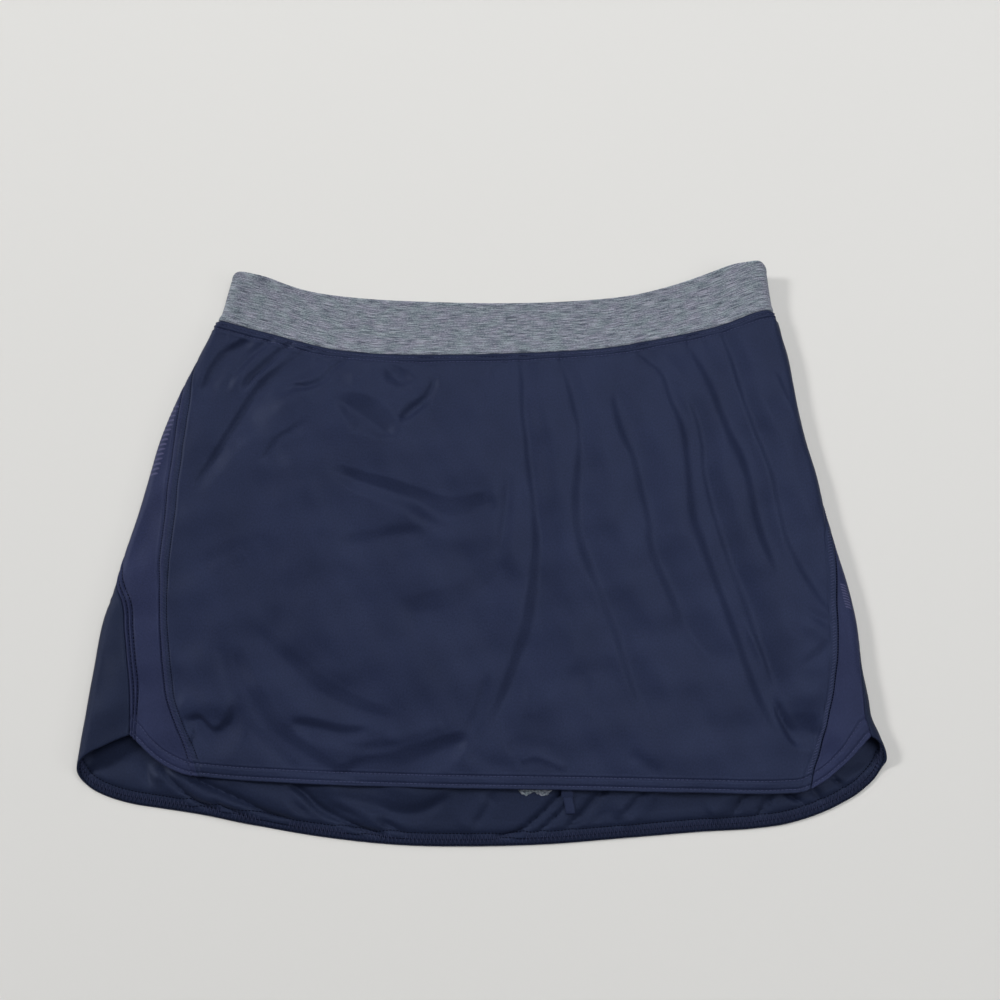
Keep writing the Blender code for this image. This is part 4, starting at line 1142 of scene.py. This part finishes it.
NAVY = (0.0134, 0.0184, 0.0450)
# lighter than NAVY though the sides are the same knit: painted light, for the light that falls on the side
# panels
NAVY_SIDE_PAINTED_LIGHT = (0.0180, 0.0225, 0.0580)
# darker than NAVY though the back is the same knit: painted shade, for the shadow that the front's hem casts
# on the strip below it
NAVY_INSIDE_PAINTED_SHADE = (0.0098, 0.0140, 0.0335)
NAVY_THREAD = (0.0480, 0.0560, 0.1150)
SEAM_THREAD = (0.0280, 0.0340, 0.0720)
DARK_THREAD = (0.0030, 0.0042, 0.0115)
FILM = (0.064, 0.066, 0.130)
NAVY_SPECULAR, NAVY_GLOSS = 0.17, (0.52, 0.63, 1.0)
MARL_SPECULAR, THREAD_SPECULAR = 0.14, 0.05
MARL_STOPS = (
    (0.41, (0.060, 0.069, 0.097)),
    (0.475, (0.143, 0.163, 0.200)),
    (0.54, (0.232, 0.256, 0.300)),
    (0.61, (0.345, 0.365, 0.410)),
)
MARL_GREEN, MARL_VIOLET = (0.95, 1.02, 0.98), (1.04, 0.98, 1.04)
MARL_STREAK, SHORT_STREAK = (10.0, 0.55), (1.8, 1.0)
FLOOR_DARK, FLOOR_LIGHT = (0.66, 0.655, 0.64), (0.70, 0.695, 0.68)


class Nodes:
    """Short calls that add nodes to a material and link them."""

    def __init__(self, name):
        self.material = bpy.data.materials.new(name)
        self.material.use_nodes = True
        self.tree = self.material.node_tree
        self.shader = self.tree.nodes["Principled BSDF"]

    def add(self, kind, inputs=(), **settings):
        node = self.tree.nodes.new(kind)
        for key, value in settings.items():
            setattr(node, key, value)
        for key, value in dict(inputs).items():
            self.feed(node.inputs[key], value)
        return node

    def feed(self, socket, value):
        if isinstance(value, bpy.types.NodeSocket):
            self.tree.links.new(value, socket)
        else:
            socket.default_value = value

    def math(self, operation, first, second=0.0):
        return self.add("ShaderNodeMath", {0: first, 1: second}, operation=operation).outputs[0]

    def cloth(self, across, along):
        """The place on the cloth, in units of so many millimetres across and along it."""
        place = self.add("ShaderNodeUVMap", uv_map="cloth").outputs[0]
        scale = (1 / (across * MM), 1 / (along * MM), 1.0)
        return self.add("ShaderNodeMapping", {"Vector": place, "Scale": scale}).outputs[0]

    def noise(self, place, detail=2.0, roughness=0.5):
        inputs = {"Vector": place, "Scale": 1.0, "Detail": detail, "Roughness": roughness}
        return self.add("ShaderNodeTexNoise", inputs).outputs[0]

    def ramp(self, value, stops):
        node = self.add("ShaderNodeValToRGB", {"Fac": value})
        elements = node.color_ramp.elements
        while len(elements) < len(stops):
            elements.new(0.5)
        for element, (position, color) in zip(elements, stops):
            element.position = position
            element.color = (*color, 1.0)
        return node.outputs[0]

    def color(self, first, second=None):
        """Colours the shader with one socket, or with the product of two."""
        if second:
            inputs = {"Factor": 1.0, 6: first, 7: second}
            first = self.add("ShaderNodeMix", inputs, data_type="RGBA", blend_type="MULTIPLY").outputs[2]
        self.feed(self.shader.inputs["Base Color"], first)

    def knit(self, wale, course):
        """The height of a plain knit: columns of stitches `wale` wide, rows `course` high."""
        parts = self.add("ShaderNodeSeparateXYZ", {0: self.cloth(wale, course)}).outputs
        across, down = [self.math("SINE", self.math("MULTIPLY", parts[k], 2 * math.pi)) for k in (0, 1)]
        return self.math("ADD", across, down)

    def bump(self, height, distance, strength):
        inputs = {"Height": height, "Distance": distance * MM, "Strength": strength}
        self.feed(self.shader.inputs["Normal"], self.add("ShaderNodeBump", inputs).outputs[0])

    def finish(self, **values):
        for key, value in values.items():
            self.shader.inputs[key.replace("_", " ")].default_value = value
        return self.material


def shades(color, low, high, start, end):
    """Stops of a ramp between a darker and a lighter shade of a colour."""
    return [(at, tuple(part * share for part in color)) for at, share in ((start, low), (end, high))]


def navy_cloth(name, color, roughness, sheen, tint):
    """Smooth fine knit: slow unevenness of colour, a fine grain, and sheen."""
    nodes = Nodes(name)
    slow = nodes.noise(nodes.cloth(38, 52), detail=3.0)
    grain = nodes.noise(nodes.cloth(1.1, 1.3), detail=3.0, roughness=0.6)
    fine = nodes.ramp(grain, shades((1, 1, 1), 0.84, 1.16, 0.35, 0.65))
    nodes.color(nodes.ramp(slow, shades(color, 0.9, 1.1, 0.3, 0.7)), fine)
    weave = nodes.math("MULTIPLY", nodes.knit(0.62, 0.5), 0.35)
    nodes.bump(nodes.math("ADD", weave, grain), 0.06, 0.6)
    return nodes.finish(
        Roughness=roughness,
        Specular_IOR_Level=NAVY_SPECULAR,
        Specular_Tint=(*NAVY_GLOSS, 1.0),
        Sheen_Weight=sheen,
        Sheen_Roughness=0.45,
        Sheen_Tint=(*tint, 1.0),
    )


def marl_cloth(name, streak):
    """Heather knit: streaks of mixed yarn along the cloth, with a soft brushed face."""
    nodes = Nodes(name)
    streaks = nodes.noise(nodes.cloth(*streak), detail=4.0, roughness=0.6)
    flecks = nodes.noise(nodes.cloth(1.2, 0.6))
    mixed = nodes.math("ADD", nodes.math("MULTIPLY", streaks, 0.7), nodes.math("MULTIPLY", flecks, 0.3))
    tint = nodes.ramp(nodes.noise(nodes.cloth(11, 6)), ((0.35, MARL_GREEN), (0.65, MARL_VIOLET)))
    nodes.color(nodes.ramp(mixed, MARL_STOPS), tint)
    weave = nodes.math("MULTIPLY", nodes.knit(0.9, 0.7), 0.3)
    nodes.bump(nodes.math("ADD", weave, mixed), 0.25, 0.7)
    return nodes.finish(
        Roughness=0.9, Specular_IOR_Level=MARL_SPECULAR, Sheen_Weight=0.1, Sheen_Roughness=0.6
    )


def thread_material(name, color, roughness=0.55):
    nodes = Nodes(name)
    twist = nodes.noise(nodes.cloth(0.5, 0.5), detail=1.0)
    nodes.color(nodes.ramp(twist, shades(color, 0.75, 1.3, 0.35, 0.65)))
    nodes.bump(twist, 0.05, 0.5)
    return nodes.finish(
        Roughness=roughness, Specular_IOR_Level=THREAD_SPECULAR, Specular_Tint=(*NAVY_GLOSS, 1.0)
    )


def floor_material():
    nodes = Nodes("pale_floor")
    soft = nodes.add("ShaderNodeTexNoise", {"Scale": 3.0, "Detail": 2.0}).outputs[0]
    nodes.color(nodes.ramp(soft, ((0.3, FLOOR_DARK), (0.7, FLOOR_LIGHT))))
    return nodes.finish(Roughness=0.9)


# ---------------------------------------------------------------- floor, light and camera

FLOOR_DROP, FLOOR_HALF = -0.05, 3.0  # millimetres below the garment, and metres
LAMPS = table(  # metres and watts; each one faces the garment's middle
    "name place size power color",
    ("key", (-3.6, 1.25, 2.3), 0.8, 106.0, (1.0, 0.99, 0.97)),
    ("window", (-0.25, 2.4, 1.8), 1.4, 20.5, (1.0, 1.0, 0.985)),
    ("fill", (2.6, -0.6, 1.7), 1.2, 10.4, (0.97, 0.98, 1.0)),
    ("overhead", (0.62, 0.45, 2.15), 1.6, 28.5, (1.0, 1.0, 1.0)),
)
WORLD, WORLD_STRENGTH = (0.62, 0.63, 0.65), 0.208
CAMERA_PLACE = (12.5, -142.0, 655.0)  # in the tables' frame
CAMERA_TILT = 14.2  # degrees from straight down
LENS = SENSOR = 36.0


def make_stage():
    mesh = bpy.data.meshes.new("floor")
    signs = ((-1, -1), (1, -1), (1, 1), (-1, 1))
    corners = [(across * FLOOR_HALF, down * FLOOR_HALF, FLOOR_DROP * MM) for across, down in signs]
    mesh.from_pydata(corners, [], [(0, 1, 2, 3)])
    mesh.materials.append(floor_material())
    add_object("floor", mesh)


def make_lights():
    bpy.context.scene.view_settings.view_transform = "Standard"
    for lamp in LAMPS:
        light = bpy.data.lights.new(lamp.name, "AREA")
        light.shape = "DISK"
        light.size, light.energy, light.color = lamp.size, lamp.power, lamp.color
        obj = add_object(lamp.name, light)
        obj.location = lamp.place
        obj.rotation_euler = (-obj.location).to_track_quat("-Z", "Y").to_euler()
    world = bpy.data.worlds.new("studio")
    world.use_nodes = True
    background = world.node_tree.nodes["Background"]
    background.inputs["Color"].default_value = (*WORLD, 1.0)
    background.inputs["Strength"].default_value = WORLD_STRENGTH
    bpy.context.scene.world = world


def make_camera():
    data = bpy.data.cameras.new("camera")
    data.lens, data.sensor_width = LENS, SENSOR
    camera = add_object("camera", data)
    camera.location = (np.array(CAMERA_PLACE) + SHIFT) * MM
    camera.rotation_euler = (math.radians(CAMERA_TILT), 0, 0)
    bpy.context.scene.camera = camera


# ---------------------------------------------------------------- the garment


def make_cloth():
    """The cloth pieces by their nodes, and the faces that get sewing."""
    navy = navy_cloth("navy_knit_face", NAVY, 0.46, 0.04, (0.5, 0.6, 1.0))
    # a lighter copy of the same knit for both side panels: painted light
    side_navy_painted_light = navy_cloth("navy_side_painted_light", NAVY_SIDE_PAINTED_LIGHT, 0.46, 0.04, (0.6, 0.58, 1.0))
    # a darker copy of the same knit for the back panel: painted shade
    back_navy_painted_shade = navy_cloth("navy_back_painted_shade", NAVY_INSIDE_PAINTED_SHADE, 0.5, 0.03, (0.5, 0.6, 1.0))
    marl, short_marl = marl_cloth("marl_face", MARL_STREAK), marl_cloth("short_marl_face", SHORT_STREAK)

    front, front_face, _ = make_panel(
        "front_cloth", left_front, right_front, FRONT_ROWS, FRONT_COLUMNS,
        (FLATLOCK_RELIEF, LADDER_RELIEF), navy,
    )
    left, left_face, _ = make_panel(
        "side_cloth_left", left_rear, left_front, FRONT_ROWS, SIDE_COLUMNS,
        (RIDGE_RELIEF, FLATLOCK_RELIEF), side_navy_painted_light,
    )
    right, right_face, _ = make_panel(
        "side_cloth_right", right_front, right_rear, FRONT_ROWS, SIDE_COLUMNS,
        (EDGE_RELIEF, EDGE_RELIEF), side_navy_painted_light,
    )
    back, _, back_inside = make_panel(
        "back_cloth", right_rear, beyond_back, BACK_ROWS, BACK_COLUMNS,
        (EDGE_RELIEF, EDGE_RELIEF), back_navy_painted_shade, PLAIN_HEM_RELIEF, INSIDE_HEM_RELIEF, show_inside=True,
    )
    pieces = {
        "waistband": make_waistband(marl),
        "front_panel": front,
        "side_panel_left": left,
        "side_panel_right": right,
        "back_panel": back,
        "inner_short_left": make_leg("short_leg_left", LEFT_LEG, short_marl),
        "inner_short_right": make_leg("short_leg_right", RIGHT_LEG, short_marl),
        "hanging_loop": make_loop(navy),
    }
    return pieces, (front_face, left_face, right_face, back_inside)


def make_sewing(front, left, right, back_inside):
    """Stitches, rungs, looper and ventilation bars on the faces of the cloth."""
    thread = thread_material("navy_thread", NAVY_THREAD)
    seam_thread = thread_material("seam_thread", SEAM_THREAD)
    dark_thread = thread_material("dark_thread", DARK_THREAD)
    film = thread_material("violet_film", FILM, roughness=0.4)
    sewing = {}

    def sew(name, lines, material, half_width=THREAD):
        sewing[name] = make_threads(name, lines, material, half_width)

    def seam_rows(surface, arcs, row):
        return [seen(stitches(line, *row)) for line in lines_down(surface, arcs)]

    for edge, distances in (("waist", WAIST_STITCHES), ("hem", HEM_STITCHES)):
        lines = [line_round(face, distance, edge) for face in (front, left, right) for distance in distances]
        sew(edge + "_stitches", [seen(stitches(line, EDGE_PITCH, EDGE_SHARE)) for line in lines], thread)
    lines = [line_round(back_inside, distance, "hem") for distance in INSIDE_STITCHES]
    rows = [stitches(line, INSIDE_PITCH, INSIDE_SHARE) for line in lines]
    sew("back_hem_stitches", rows, dark_thread, HEM_THREAD_WIDTH)
    lines = [line_round(back_inside, distance, "hem") for distance in LOOPER]
    sew("back_hem_looper", [zigzag(*lines, LOOPER_PITCH)], seam_thread, LOOPER_WIDTH)

    left_band = lines_down(left, LEFT_BAND[0]) + lines_down(front, LEFT_BAND[1])
    left_rows = [seen(stitches(line, *LEFT_ROW)) for line in (left_band[0], left_band[-1])]
    sew("left_seam_rungs", [seen(rungs(left_band, LEFT_RUNG_PITCH))], seam_thread)
    rows = left_rows + seam_rows(left, REAR_ROWS, REAR_ROW)
    sew("left_seam_stitches", rows, dark_thread, SEAM_THREAD_WIDTH)
    sew("right_seam_rungs", [seen(rungs(lines_down(front, RIGHT_BAND), RIGHT_RUNG_PITCH))], thread)
    sew("right_seam_stitches", seam_rows(front, RIGHT_ROWS, RIGHT_ROW), dark_thread, SEAM_THREAD_WIDTH)
    sewing["vents_left"] = make_vents("vents_left", left, LEFT_VENTS, -1, film)
    sewing["vents_right"] = make_vents("vents_right", right, RIGHT_VENTS, 1, film)
    return sewing


SEWN_ON = {
    "front_panel": ("waist_stitches", "hem_stitches"),
    "side_panel_left": ("left_seam_rungs", "left_seam_stitches", "vents_left"),
    "side_panel_right": ("right_seam_rungs", "right_seam_stitches", "vents_right"),
    "back_panel": ("back_hem_stitches", "back_hem_looper"),
}


def describe(pieces, sewing):
    for node, piece in pieces.items():
        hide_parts(node)
    for name, piece in sewing.items():
        node = next(node for node, names in SEWN_ON.items() if name in names)


make_stage()
make_lights()
make_camera()
cloth, faces = make_cloth()
describe(cloth, make_sewing(*faces))
